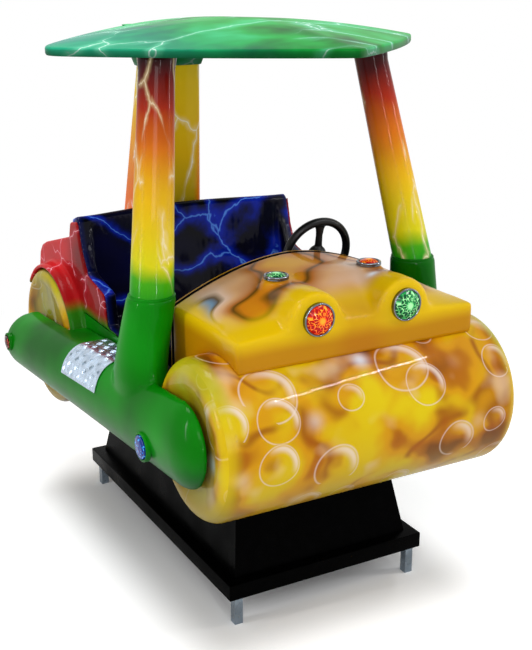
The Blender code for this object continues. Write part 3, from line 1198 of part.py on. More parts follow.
# ---------------------------------------------------------------- assembly
def build():
    clear_scene()
    base_slab()
    legs()
    base_housing()
    mains_inlet()
    coin_door_parts()
    cash_box()
    control_box()
    pivot_parts()

    crank = joint_empty("crank_turn", (0.0, CRANK_Y, PIVOT_Z))
    gear_drive(crank)
    spin = joint_empty("roller_spin", (0.0, CRANK_Y - CRANK_RADIUS, PIVOT_Z), crank)
    crank_roller(spin)

    ride = joint_empty("ride_rock", (0.0, BASE_Y, PIVOT_Z))
    sub_frame(ride)
    crank_channel(ride)
    drums(ride)
    floor_tub(ride)
    for name, side in (("right", -1), ("left", 1)):
        side_member(f"side_member_{name}", side, ride)
        tread_plate(f"tread_plate_{name}", side, ride)
        post_base(f"post_base_{name}", side, ride)
        front_post(f"front_post_{name}", side, ride)
    reflectors(ride)
    rear_support(ride)
    roof(ride)
    hood(ride)
    lamps(ride)
    dashboard(ride)
    seat_shell(ride)
    rear_shell(ride)

    wheel = joint_empty("wheel_turn", WHEEL_CENTRE, ride)
    horn = joint_empty("horn_press", WHEEL_CENTRE, wheel)
    steering(ride, wheel, horn)
    press = joint_empty("start_press", (START_BUTTON[0], DASH_Y, START_BUTTON[1]), ride)
    start_button(press)


build()
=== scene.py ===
"""Looks for the coin-operated road-roller ride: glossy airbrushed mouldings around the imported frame."""
import json
import math

import bmesh
import bpy
import numpy as np
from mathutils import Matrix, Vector


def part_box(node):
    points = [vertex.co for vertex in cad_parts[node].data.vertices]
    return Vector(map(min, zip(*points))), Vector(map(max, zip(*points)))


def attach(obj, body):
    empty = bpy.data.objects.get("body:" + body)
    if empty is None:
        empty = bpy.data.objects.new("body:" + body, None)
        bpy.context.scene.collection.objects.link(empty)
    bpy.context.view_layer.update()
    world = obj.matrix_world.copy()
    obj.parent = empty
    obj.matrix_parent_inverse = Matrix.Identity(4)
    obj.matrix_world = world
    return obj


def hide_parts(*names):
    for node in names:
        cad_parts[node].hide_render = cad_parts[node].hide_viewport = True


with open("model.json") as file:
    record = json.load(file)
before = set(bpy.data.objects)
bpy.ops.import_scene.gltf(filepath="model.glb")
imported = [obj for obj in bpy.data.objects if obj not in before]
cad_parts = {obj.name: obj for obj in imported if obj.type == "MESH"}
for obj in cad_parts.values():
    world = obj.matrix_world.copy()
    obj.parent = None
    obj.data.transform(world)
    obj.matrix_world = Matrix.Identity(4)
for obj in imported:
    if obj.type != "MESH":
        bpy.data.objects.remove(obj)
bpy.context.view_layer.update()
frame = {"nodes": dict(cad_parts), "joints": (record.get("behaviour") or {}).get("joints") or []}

# ---------------------------------------------------------------- places, from the frame
def corners_of(node):
    """Lowest and highest corner of a CAD node's box."""
    low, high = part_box(node)
    return Vector(low), Vector(high)


DRUM_LOW, DRUM_HIGH = corners_of("front_drum")
REAR_LOW, REAR_HIGH = corners_of("rear_drum")
HOOD_LOW, HOOD_HIGH = corners_of("hood")
ROOF_LOW, ROOF_HIGH = corners_of("roof")
SLAB_LOW, SLAB_HIGH = corners_of("base_slab")
TUB_HIGH = corners_of("floor_tub")[1]
BASE_HIGH = corners_of("post_base_left")[1]
POST_HIGH = corners_of("front_post_left")[1]
SHELL_HIGH = corners_of("rear_shell")[1]

DRUM_AXIS = (DRUM_LOW + DRUM_HIGH) / 2
DRUM_RADIUS = (DRUM_HIGH.z - DRUM_LOW.z) / 2
REAR_AXIS = (REAR_LOW + REAR_HIGH) / 2
REAR_RADIUS = (REAR_HIGH.z - REAR_LOW.z) / 2
BODY_HALF = TUB_HIGH.x
TUB_RIM = TUB_HIGH.z


# ---------------------------------------------------------------- mesh helpers
def mesh_object(name, verts, faces):
    mesh = bpy.data.meshes.new(name)
    mesh.from_pydata([tuple(v) for v in verts], [], faces)
    mesh.validate()
    item = bpy.data.objects.new(name, mesh)
    bpy.context.collection.objects.link(item)
    return item


def loft(name, rings, closed=False):
    """Skin a surface over equally long rings of points."""
    count = len(rings[0])
    verts = [point for ring in rings for point in ring]
    faces = []
    spans = len(rings) if closed else len(rings) - 1
    for k in range(spans):
        low, high = k * count, (k + 1) % len(rings) * count
        for i in range(count):
            j = (i + 1) % count
            faces.append((low + i, low + j, high + j, high + i))
    if not closed:
        faces.append(tuple(reversed(range(count))))
        faces.append(tuple(range(len(verts) - count, len(verts))))
    item = mesh_object(name, verts, faces)
    tidy(item)
    return item


def tidy(item):
    """Merge doubled points and face the surface outwards."""
    bm = bmesh.new()
    bm.from_mesh(item.data)
    bmesh.ops.remove_doubles(bm, verts=bm.verts, dist=1e-6)
    bmesh.ops.recalc_face_normals(bm, faces=bm.faces)
    bm.to_mesh(item.data)
    bm.free()


def prism(name, outline, low, high):
    """Extrude a (y, z) outline along X."""
    return loft(name, [[(x, y, z) for y, z in outline] for x in (low, high)])


def turns(count):
    """Evenly spaced angles, all the way round."""
    return [2 * math.pi * i / count for i in range(count)]


def half_turns(steps):
    """Angles from 0 to 180 degrees, both ends included."""
    return [math.pi * i / steps for i in range(steps + 1)]


def circle(centre, axis, radius, count):
    axis = Vector(axis).normalized()
    side = Vector((0.0, 0.0, 1.0)) if abs(axis.x) > 0.9 else Vector((1.0, 0.0, 0.0))
    side = (side - axis * side.dot(axis)).normalized()
    other = axis.cross(side)
    return [Vector(centre) + radius * (math.cos(t) * side + math.sin(t) * other) for t in turns(count)]


def revolve(name, start, axis, profile, count=96, ring=False):
    """Turn a profile of (distance along the axis, radius) round the axis."""
    axis = Vector(axis).normalized()
    rings = [circle(Vector(start) + axis * along, axis, max(radius, 1e-5), count)
             for along, radius in profile]
    return loft(name, rings, closed=ring)


def arc(centre, radius, start, end, steps):
    """Points of a (a, b) arc between two angles in degrees."""
    angles = [math.radians(start + (end - start) * i / steps) for i in range(steps + 1)]
    return [(centre[0] + radius * math.cos(t), centre[1] + radius * math.sin(t)) for t in angles]


def join(name, items):
    """Make one object of several."""
    verts, faces = [], []
    for item in items:
        shift = len(verts)
        verts += [item.matrix_world @ v.co for v in item.data.vertices]
        faces += [tuple(i + shift for i in face.vertices) for face in item.data.polygons]
        bpy.data.objects.remove(item, do_unlink=True)
    return mesh_object(name, verts, faces)


def settle(item):
    """Apply the modifiers."""
    bpy.context.view_layer.update()
    graph = bpy.context.evaluated_depsgraph_get()
    mesh = bpy.data.meshes.new_from_object(item.evaluated_get(graph))
    item.modifiers.clear()
    item.data = mesh


def mould(item, voxel, rounds):
    """Blend overlapping solids into one softly rounded moulding."""
    remesh = item.modifiers.new("remesh", 'REMESH')
    remesh.mode = 'VOXEL'
    remesh.voxel_size = voxel
    if rounds:
        smooth = item.modifiers.new("smooth", 'SMOOTH')
        smooth.factor = 0.5
        smooth.iterations = rounds
    settle(item)
    item.data.shade_smooth()
    return item


def soft_edges(item, width, segments=3):
    """Round the edges and shade the faces flat to the eye."""
    bevel = item.modifiers.new("bevel", 'BEVEL')
    bevel.width = width
    bevel.segments = segments
    bevel.limit_method = 'ANGLE'
    bevel.angle_limit = math.radians(30)
    settle(item)
    item.data.shade_smooth()
    item.data.set_sharp_from_angle(angle=math.radians(40))
    return item


def smooth(item, angle=40):
    item.data.shade_smooth()
    item.data.set_sharp_from_angle(angle=math.radians(angle))
    return item


def block(name, low, high, bevel=0.0):
    """A box between two corners, its edges rounded by the bevel."""
    x0, y0, z0 = low
    x1, y1, z1 = high
    item = loft(name, [[(x0, y0, z), (x1, y0, z), (x1, y1, z), (x0, y1, z)] for z in (z0, z1)])
    if bevel:
        soft_edges(item, bevel)
    return item


def mix(a, b, t):
    return a + (b - a) * t


def ease(t):
    t = min(max(t, 0.0), 1.0)
    return t * t * (3 - 2 * t)


# ---------------------------------------------------------------- material helpers
class Paint:
    """A Principled material with short names for the nodes that drive it."""

    def __init__(self, name, colour=(0.5, 0.5, 0.5), roughness=0.4, metallic=0.0, coat=0.0):
        self.material = bpy.data.materials.new(name)
        self.material.use_nodes = True
        self.tree = self.material.node_tree
        self.shader = self.tree.nodes["Principled BSDF"]
        self.set("Base Color", (*colour, 1.0))
        self.set("Roughness", roughness)
        self.set("Metallic", metallic)
        if coat:
            self.set("Coat Weight", coat)
            self.set("Coat Roughness", 0.03)
        self.place = self.node('ShaderNodeTexCoord').outputs['Object']

    def set(self, socket, value):
        if hasattr(value, 'is_output'):
            self.tree.links.new(value, self.shader.inputs[socket])
        else:
            self.shader.inputs[socket].default_value = value

    def node(self, kind, **values):
        item = self.tree.nodes.new(kind)
        for name, value in values.items():
            setattr(item, name, value)
        return item

    def feed(self, item, index, value):
        if hasattr(value, 'is_output'):
            self.tree.links.new(value, item.inputs[index])
        else:
            item.inputs[index].default_value = value

    def fill(self, item, **values):
        """Set or link a node's inputs by name."""
        for name, value in values.items():
            self.feed(item, name, value)
        return item

    def done(self, colour):
        self.set("Base Color", colour)
        return self.material

    def math(self, operation, a, b=0.0):
        item = self.node('ShaderNodeMath', operation=operation)
        self.feed(item, 0, a)
        self.feed(item, 1, b)
        return item.outputs[0]

    def times(self, a, b):
        return self.math('MULTIPLY', a, b)

    def plus(self, a, b):
        return self.math('ADD', a, b)

    def minus(self, a, b):
        return self.math('SUBTRACT', a, b)

    def size(self, value):
        return self.math('ABSOLUTE', value)

    def axis(self, name, vector=None):
        item = self.node('ShaderNodeSeparateXYZ')
        self.feed(item, 0, vector or self.place)
        return item.outputs[name]

    def pack(self, x, y, z):
        item = self.node('ShaderNodeCombineXYZ')
        for index, value in enumerate((x, y, z)):
            self.feed(item, index, value)
        return item.outputs[0]

    def span(self, value, low, high, start=0.0, end=1.0):
        """Smoothly map low..high to start..end."""
        item = self.node('ShaderNodeMapRange', interpolation_type='SMOOTHSTEP')
        for index, number in enumerate((value, low, high, start, end)):
            self.feed(item, index, number)
        return item.outputs[0]

    def shift(self, vector, place=(0, 0, 0), scale=(1, 1, 1)):
        item = self.node('ShaderNodeMapping')
        return self.fill(item, Vector=vector, Location=place, Scale=scale).outputs[0]

    def noise(self, scale, detail=2.0, vector=None, roughness=0.5, colour=False):
        item = self.fill(self.node('ShaderNodeTexNoise'), Vector=vector or self.place, Scale=scale,
                         Detail=detail, Roughness=roughness)
        return item.outputs['Color' if colour else 'Fac']

    def cells(self, scale, vector=None, feature='F1', randomness=1.0):
        item = self.node('ShaderNodeTexVoronoi', feature=feature)
        return self.fill(item, Vector=vector or self.place, Scale=scale,
                         Randomness=randomness).outputs['Distance']

    def blend(self, factor, a, b):
        item = self.node('ShaderNodeMix', data_type='RGBA')
        self.feed(item, 0, factor)
        for index, value in ((6, a), (7, b)):
            self.feed(item, index, value if hasattr(value, 'is_output') else (*value, 1.0))
        return item.outputs[2]

    def tint(self, colour, mask, share, hue):
        """Lay a hue over the colour where the mask is, at a share of its strength."""
        return self.blend(self.times(mask, share), colour, hue)

    def ramp(self, factor, stops):
        item = self.node('ShaderNodeValToRGB')
        self.feed(item, 0, factor)
        elements = item.color_ramp.elements
        while len(elements) < len(stops):
            elements.new(0.5)
        for element, (position, colour) in zip(elements, stops):
            element.position = position
            element.color = (*colour, 1.0)
        return item.outputs[0]

    def vector(self, operation, a, b):
        """Vector maths; b is a vector, or the factor of a SCALE."""
        item = self.node('ShaderNodeVectorMath', operation=operation)
        self.feed(item, 0, a)
        self.feed(item, 'Scale' if operation == 'SCALE' else 1, b)
        return item.outputs[0]

    def wobble(self, amount, scale, detail=2.0, vector=None):
        """The place, pushed about by noise."""
        source = vector or self.place
        push = self.vector('SUBTRACT', self.noise(scale, detail, source, colour=True), (0.5, 0.5, 0.5))
        return self.vector('ADD', source, self.vector('SCALE', push, amount))

    def bump(self, height, strength, distance, socket="Normal"):
        item = self.node('ShaderNodeBump')
        self.set(socket, self.fill(item, Strength=strength, Distance=distance, Height=height).outputs[0])


def lightning(paint, vector, scale, width, glow, breaks, seed):
    """Branching airbrushed streaks: a thin bright core and a soft halo, with gaps."""
    source = paint.shift(vector, place=seed)
    bent = paint.wobble(0.50 / scale, scale * 0.8, 3.0, source)
    bent = paint.wobble(0.16 / scale, scale * 4, 3.0, bent)
    edge = paint.cells(scale, bent, 'DISTANCE_TO_EDGE')
    mask = paint.span(paint.noise(scale * 0.9, 1.0, source), breaks - 0.04, breaks + 0.06)
    core = paint.times(paint.span(edge, 0.0, width * scale, 1.0, 0.0), mask)
    halo = paint.span(edge, 0.0, glow * scale, 1.0, 0.0)
    halo = paint.times(paint.math('POWER', halo, 2.0), mask)
    return core, halo


def streaks(paint, colour, vector, scale, width, glow, breaks, seed, halo_hue, core_hue):
    """Lightning over a colour; halo_hue and core_hue are (share, colour) pairs."""
    core, halo = lightning(paint, vector, scale, width, glow, breaks, seed)
    colour = paint.tint(colour, halo, *halo_hue)
    return paint.tint(colour, core, *core_hue)


def gelcoat(name, coat=0.34, index=1.34):
    """Lacquered fibreglass with the faint waviness of a hand-laid moulding."""
    paint = Paint(name, roughness=0.45, coat=coat)
    paint.set("Specular IOR Level", 0.04)
    paint.set("Coat IOR", index)
    paint.set("Coat Roughness", 0.05)
    wave = paint.plus(paint.noise(9.0, 1.0), paint.times(paint.noise(160.0, 1.0), 0.010))
    paint.bump(wave, 0.20, 0.008, "Coat Normal")
    return paint


# ---------------------------------------------------------------- paint jobs
def roof_paint():
    paint = gelcoat("roof_gelcoat", 0.12, 1.25)
    cloud = paint.noise(3.4, 3.0, paint.wobble(0.25, 3.0))
    colour = paint.ramp(cloud,
                        [(0.35, (0.001, 0.050, 0.010)), (0.46, (0.002, 0.200, 0.020)),
                         (0.56, (0.006, 0.400, 0.050)), (0.66, (0.03, 0.54, 0.16))])
    # Painted sheen: a teal tint laid over the roof's -X side.
    teal = paint.span(paint.axis('X'), -0.50, -0.05, 1.0, 0.0)
    colour = paint.tint(colour, teal, 0.60, (0.02, 0.36, 0.30))
    # Pale streaks: airbrushed lightning, which also stands in for painted highlights on the roof's top.
    colour = streaks(paint, colour, paint.shift(paint.place, scale=(0.7, 1.3, 1.0)), 4.0, 0.0026, 0.030,
                     0.44, (3.0, 1.0, 7.0), (0.50, (0.20, 0.80, 0.50)), (0.85, (0.75, 1.0, 0.92)))
    # Painted shade: faces that turn sideways and downwards, the rim and underside, are darkened to deep
    # green.
    under = paint.axis('Z', paint.node('ShaderNodeNewGeometry').outputs['Normal'])
    colour = paint.blend(paint.span(under, -0.3, 0.45, 0.80, 0.0), colour, (0.001, 0.040, 0.008))
    return paint.done(colour)


POST_STOPS = [(0.00, (0.006, 0.300, 0.006)), (0.07, (0.060, 0.400, 0.004)), (0.17, (0.740, 0.680, 0.006)),
              (0.42, (0.860, 0.500, 0.004)), (0.63, (0.720, 0.170, 0.003)), (0.80, (0.420, 0.022, 0.003)),
              (0.93, (0.100, 0.003, 0.004)), (1.00, (0.012, 0.001, 0.002))]


def post_paint(name, seed):
    """Dark red at the roof, through orange and yellow to green at the base."""
    paint = gelcoat(name)
    height = paint.plus(paint.axis('Z'), paint.times(paint.noise(7.0, 2.0), 0.10))
    share = paint.math('DIVIDE', paint.minus(height, BASE_HIGH.z + 0.045), POST_HIGH.z - BASE_HIGH.z)
    colour = paint.ramp(share, POST_STOPS)
    colour = streaks(paint, colour, paint.shift(paint.place, scale=(1.5, 1.5, 0.50)), 8.0, 0.0020, 0.013,
                     0.53, seed, (0.50, (0.92, 0.72, 0.36)), (0.50, (1.0, 0.92, 0.70)))
    return paint.done(colour)


def support_paint():
    paint = gelcoat("support_gelcoat")
    height = paint.plus(paint.axis('Z'), paint.times(paint.noise(6.0, 2.0), 0.12))
    share = paint.math('DIVIDE', paint.minus(height, SHELL_HIGH.z - 0.04), 0.62)
    colour = paint.ramp(share,
                        [(0.0, (0.10, 0.13, 0.020)), (0.12, (0.42, 0.30, 0.006)),
                         (0.45, (0.80, 0.48, 0.006)), (0.80, (0.92, 0.62, 0.012)),
                         (0.97, (0.80, 0.60, 0.012)), (1.0, (0.30, 0.35, 0.010))])
    side = paint.span(paint.size(paint.axis('X')), 0.080, 0.112)
    low = paint.times(side, paint.span(share, 0.10, 0.85, 1.0, 0.0))
    colour = paint.blend(low, colour, (0.95, 0.20, 0.004))
    colour = streaks(paint, colour, paint.shift(paint.place, scale=(1.3, 1.3, 0.7)), 6.0, 0.0022, 0.018,
                     0.43, (1.0, 5.0, 2.0), (0.40, (1.0, 0.90, 0.62)), (0.80, (1.0, 0.97, 0.85)))
    return paint.done(colour)


def seat_paint():
    paint = gelcoat("seat_gelcoat")
    cloud = paint.noise(2.6, 2.0, paint.wobble(0.2, 2.0))
    colour = paint.ramp(cloud,
                        [(0.42, (0.0001, 0.0001, 0.0010)), (0.56, (0.0003, 0.0003, 0.012)),
                         (0.72, (0.0005, 0.0010, 0.050))])
    wing = paint.span(paint.size(paint.axis('X')), 0.355, 0.372)
    colour = paint.tint(colour, wing, 0.60, (0.001, 0.006, 0.090))
    colour = streaks(paint, colour, paint.place, 3.7, 0.0030, 0.030, 0.42, (0.4, 2.6, 4.1),
                     (0.80, (0.003, 0.022, 0.50)), (0.70, (0.12, 0.34, 0.95)))
    return paint.done(colour)


def shell_paint():
    paint = gelcoat("shell_gelcoat", 0.22, 1.28)
    cloud = paint.noise(3.0, 2.0, paint.wobble(0.15, 3.0))
    colour = paint.ramp(cloud,
                        [(0.32, (0.200, 0.002, 0.003)), (0.50, (0.520, 0.006, 0.009)),
                         (0.68, (0.740, 0.010, 0.016))])
    front = paint.span(paint.axis('Y'), 0.25, 0.50, 1.0, 0.0)
    colour = paint.tint(colour, front, 0.55, (0.150, 0.003, 0.004))
    colour = streaks(paint, colour, paint.place, 6.5, 0.0016, 0.012, 0.46, (2.2, 0.4, 1.0),
                     (0.35, (0.85, 0.10, 0.18)), (0.80, (1.0, 0.62, 0.68)))
    low = paint.plus(paint.axis('Z'), paint.times(paint.noise(9.0, 2.0), 0.03))
    green = paint.span(low, TUB_RIM + 0.010, TUB_RIM + 0.055, 1.0, 0.0)
    colour = paint.tint(colour, green, 0.95, (0.004, 0.200, 0.004))
    return paint.done(colour)


def member_paint():
    """Bright green above, darkened to dark teal along the underside by painted shade."""
    paint = gelcoat("member_gelcoat", 0.20)
    cloud = paint.noise(3.2, 2.0)
    bright = paint.ramp(cloud,
                        [(0.35, (0.0005, 0.100, 0.0005)), (0.55, (0.001, 0.205, 0.001)),
                         (0.72, (0.003, 0.320, 0.006))])
    height = paint.minus(paint.axis('Z'), paint.times(paint.axis('Y'), -0.061))
    height = paint.plus(height, paint.times(paint.noise(9.0, 3.0), 0.05))
    # Painted shade: the colour darkens towards the underside.
    under = paint.span(height, 0.470, 0.600, 1.0, 0.0)
    colour = paint.blend(paint.times(under, 0.90), bright, (0.002, 0.035, 0.012))
    halo = lightning(paint, paint.shift(paint.place, scale=(1.0, 0.6, 1.0)), 6.0, 0.0018, 0.020, 0.60,
                     (7.0, 3.0, 3.0))[1]
    streak = paint.span(paint.axis('Y'), -0.20, 0.00)
    colour = paint.tint(colour, paint.times(halo, streak), 0.5, (0.001, 0.045, 0.012))
    return paint.done(colour)


def bubbles(paint, colour, source, scale, share, seed):
    """Thin pale rings of several sizes, each holding a soft bright crescent."""
    cell = paint.node('ShaderNodeTexVoronoi', feature='F1', voronoi_dimensions='2D')
    place = paint.shift(source, seed)
    paint.fill(cell, Vector=place, Scale=scale, Randomness=0.8)
    lot = paint.axis('X', cell.outputs['Color'])
    size = paint.plus(0.22, paint.times(lot, 0.22))
    shown = paint.math('LESS_THAN', paint.axis('Y', cell.outputs['Color']), share)
    depth = paint.minus(size, cell.outputs['Distance'])
    line = paint.span(paint.size(depth), 0.002, 0.020, 1.0, 0.0)
    local = paint.vector('SUBTRACT', place, cell.outputs['Position'])
    leaning = paint.plus(paint.axis('X', local), paint.axis('Y', local))
    inside = paint.times(paint.span(depth, 0.0, 0.05), paint.span(depth, 0.05, 0.17, 1.0, 0.0))
    crescent = paint.times(inside, paint.span(leaning, 0.02 / scale, 0.42 / scale))
    glow = paint.math('MAXIMUM', paint.times(line, 0.50), paint.times(crescent, 0.80))
    return paint.tint(colour, glow, shown, (0.90, 0.74, 0.66))


def airbrush(paint, colour, vector, seed):
    """Orange and rust curls, pale mist, rings, and small blue-white star flares."""
    source = paint.shift(vector, place=seed)
    curl = paint.noise(6.0, 1.5, paint.wobble(0.12, 7.0, 2.0, source), roughness=0.4)
    orange = paint.span(curl, 0.36, 0.52)
    colour = paint.tint(colour, orange, 0.85, (0.690, 0.290, 0.002))
    stroke = paint.size(paint.minus(paint.noise(4.6, 1.0, paint.shift(source, (5.0, 2.0, 1.0))), 0.5))
    swirl = paint.times(paint.span(stroke, 0.0, 0.045, 1.0, 0.0), paint.span(curl, 0.40, 0.50))
    colour = paint.tint(colour, swirl, 0.75, (0.300, 0.070, 0.001))
    rust = paint.span(curl, 0.51, 0.61)
    colour = paint.tint(colour, rust, 0.80, (0.400, 0.095, 0.001))
    umber = paint.span(curl, 0.60, 0.70)
    colour = paint.tint(colour, umber, 0.75, (0.120, 0.022, 0.001))
    fog = paint.noise(7.5, 2.0, paint.shift(source, (3.0, 1.5, 0.4)), roughness=0.4)
    colour = paint.tint(colour, paint.span(fog, 0.56, 0.74), 0.55, (0.88, 0.66, 0.42))
    colour = bubbles(paint, colour, paint.wobble(0.03, 5.0, 1.0, source), 4.9, 0.62, (0.0, 0.0, 0.0))
    colour = bubbles(paint, colour, paint.wobble(0.02, 6.0, 1.0, source), 6.8, 0.45, (2.3, 5.1, 0.0))
    spark = paint.cells(4.2, paint.shift(source, (1.7, 4.1, 2.2)), 'F1', 0.9)
    halo = paint.math('POWER', paint.span(spark, 0.0, 0.26, 1.0, 0.0), 3.0)
    return paint.blend(halo, colour, (0.82, 0.88, 1.0))


# how dark the line round each drum's rim is
OUTLINE = {"front_drum_gelcoat": 0.0, "rear_drum_gelcoat": 0.75}


def drum_paint(name, axis, radius, half, seed):
    """Airbrush work wrapped round the barrel and laid flat on the ends, which turn olive."""
    paint = gelcoat(name)
    across = paint.axis('X')
    rise = paint.minus(paint.axis('Z'), axis.z)
    run = paint.minus(paint.axis('Y'), axis.y)
    turn = paint.times(paint.math('ARCTAN2', run, rise), radius)
    reach = paint.math('SQRT', paint.plus(paint.math('POWER', rise, 2.0), paint.math('POWER', run, 2.0)))
    distance = paint.size(across)
    barrel = paint.pack(across, turn, 0.0)
    face = paint.pack(rise, run, 0.0)
    wrapped = paint.blend(paint.math('GREATER_THAN', distance, half - 0.012), barrel, face)
    ground = paint.ramp(paint.noise(2.0, 1.0), [(0.35, (0.70, 0.44, 0.002)), (0.65, (0.80, 0.60, 0.003))])
    colour = airbrush(paint, ground, wrapped, seed)
    edge = paint.span(distance, half - 0.055, half - 0.010)
    rim = paint.times(edge, paint.span(reach, radius * 0.78, radius * 0.88))
    colour = paint.tint(colour, rim, 0.75 - 0.6 * OUTLINE[name], (0.82, 0.60, 0.004))
    inner = paint.span(reach, radius * 0.62, radius * 0.90, 1.0, 0.0)
    end = paint.times(edge, inner)
    colour = paint.tint(colour, end, 0.55, (0.14, 0.22, 0.008))
    low = paint.times(edge, paint.span(rise, -0.95 * radius, -0.20 * radius, 1.0, 0.0))
    colour = paint.tint(colour, low, 0.55, (0.06, 0.12, 0.010))
    below = paint.span(rise, -0.98 * radius, -0.10 * radius, 1.0, 0.0)
    colour = paint.tint(colour, below, 0.75, (0.30, 0.20, 0.001))
    left = paint.times(paint.span(distance, half - 0.060, half - 0.020),
                       paint.span(rise, 0.40 * radius, 0.90 * radius))
    colour = paint.tint(colour, left, 0.55, (0.30, 0.38, 0.010))
    outline = paint.times(edge, paint.span(reach, radius * 0.955, radius * 0.985))
    colour = paint.tint(colour, outline, OUTLINE[name], (0.02, 0.02, 0.004))
    return paint.done(colour)


MARBLE_STOPS = [(0.30, (0.80, 0.38, 0.004)), (0.375, (0.60, 0.18, 0.008)), (0.40, (0.050, 0.010, 0.002)),
                (0.425, (0.46, 0.13, 0.03)), (0.49, (0.72, 0.40, 0.22)), (0.545, (0.74, 0.52, 0.42)),
                (0.575, (0.030, 0.008, 0.006)), (0.595, (0.08, 0.26, 0.50)), (0.63, (0.30, 0.26, 0.26)),
                (0.70, (0.74, 0.36, 0.02))]


def hood_paint():
    """Yellow, shading to orange, with soft flesh-and-brown airbrush clouds on the dome."""
    paint = gelcoat("hood_gelcoat")
    x, y, z = (paint.axis(name) for name in 'XYZ')
    sheen = paint.plus(paint.span(z, HOOD_HIGH.z - 0.155, HOOD_HIGH.z - 0.085),
                       paint.times(paint.noise(2.5, 1.0), 0.3))
    base = paint.ramp(sheen, [(0.20, (0.56, 0.25, 0.001)), (0.95, (0.82, 0.53, 0.002))])
    lift = paint.plus(z, paint.times(paint.noise(5.0, 2.0), 0.05))
    dome = paint.times(paint.span(lift, HOOD_HIGH.z - 0.080, HOOD_HIGH.z - 0.050),
                       paint.span(y, HOOD_LOW.y + 0.05, HOOD_LOW.y + 0.12))
    drift = paint.wobble(0.07, 7.0, 1.0, paint.shift(paint.place, (0.9, 0.4, 0.0)))
    smoke = paint.ramp(paint.noise(4.4, 1.0, drift, roughness=0.3), MARBLE_STOPS)
    colour = paint.blend(paint.times(dome, 0.92), base, smoke)
    spark = paint.cells(5.5, paint.shift(paint.place, (0.3, 0.8, 0.1)), 'F1', 0.9)
    flare = paint.times(paint.math('POWER', paint.span(spark, 0.0, 0.26, 1.0, 0.0), 3.0), dome)
    colour = paint.blend(flare, colour, (0.86, 0.88, 0.95))
    # Painted shade: darker orange-brown in the hollow between the lamp nacelles, at the hood's front.
    painted_shade_between_pods = paint.times(paint.span(paint.size(x), 0.02, 0.10, 1.0, 0.0),
                         paint.span(y, HOOD_LOW.y + 0.10, HOOD_LOW.y + 0.02))
    colour = paint.tint(colour, painted_shade_between_pods, 0.35, (0.45, 0.10, 0.004))
    return paint.done(colour)


def plain_gelcoat(name, colour):
    paint = gelcoat(name)
    shade = tuple(c * 0.7 for c in colour)
    paint.set("Base Color", paint.ramp(paint.noise(4.0, 2.0), [(0.35, shade), (0.65, colour)]))
    return paint.material


def tub_paint():
    """Green outside like the side members, near black inside."""
    paint = gelcoat("tub_gelcoat")
    outside = paint.span(paint.size(paint.axis('X')), BODY_HALF - 0.004, BODY_HALF - 0.002)
    green = paint.ramp(paint.noise(5.0, 3.0),
                       [(0.35, (0.001, 0.110, 0.001)), (0.65, (0.003, 0.260, 0.004))])
    paint.set("Base Color", paint.blend(outside, (0.004, 0.004, 0.005), green))
    return paint.material


def base_paint():
    """Gloss black powder coat with faint dust and scuffs."""
    paint = Paint("base_powder_coat", (0.001, 0.001, 0.001), 0.30)
    paint.set("Specular IOR Level", 0.012)
    dust = paint.noise(35.0, 4.0, roughness=0.6)
    paint.set("Base Color",
              paint.ramp(dust, [(0.45, (0.0002, 0.0002, 0.0002)), (0.80, (0.0010, 0.0010, 0.0012))]))
    paint.set("Roughness", paint.span(paint.noise(8.0, 3.0), 0.3, 0.7, 0.24, 0.42))
    paint.bump(paint.noise(900.0, 1.0), 0.10, 0.0005)
    return paint.material


def metal(name, colour, roughness, grain=60.0, spread=0.10, bump=0.05):
    """Bare metal, a little mottled; spread is how far its roughness varies."""
    paint = Paint(name, colour, roughness, metallic=1.0)
    texture = paint.noise(grain, 4.0, roughness=0.6)
    dark = tuple(c * 0.72 for c in colour)
    paint.set("Base Color", paint.ramp(texture, [(0.35, dark), (0.62, colour)]))
    paint.set("Roughness", paint.span(texture, 0.3, 0.7, roughness - spread / 2, roughness + spread / 2))
    if bump:
        paint.bump(texture, bump, 0.0006)
    return paint.material


def plastic(name, colour, roughness=0.45):
    """Moulded plastic with a fine grain."""
    paint = Paint(name, colour, roughness)
    paint.set("Specular IOR Level", 0.22)
    lighter = tuple(min(c * 1.8 + 0.004, 1.0) for c in colour)
    paint.set("Base Color", paint.ramp(paint.noise(25.0, 3.0), [(0.4, colour), (0.75, lighter)]))
    paint.set("Roughness", paint.span(paint.noise(12.0, 2.0), 0.3, 0.7, roughness - 0.06, roughness + 0.08))
    paint.bump(paint.noise(700.0, 1.0), 0.12, 0.0004)
    return paint.material


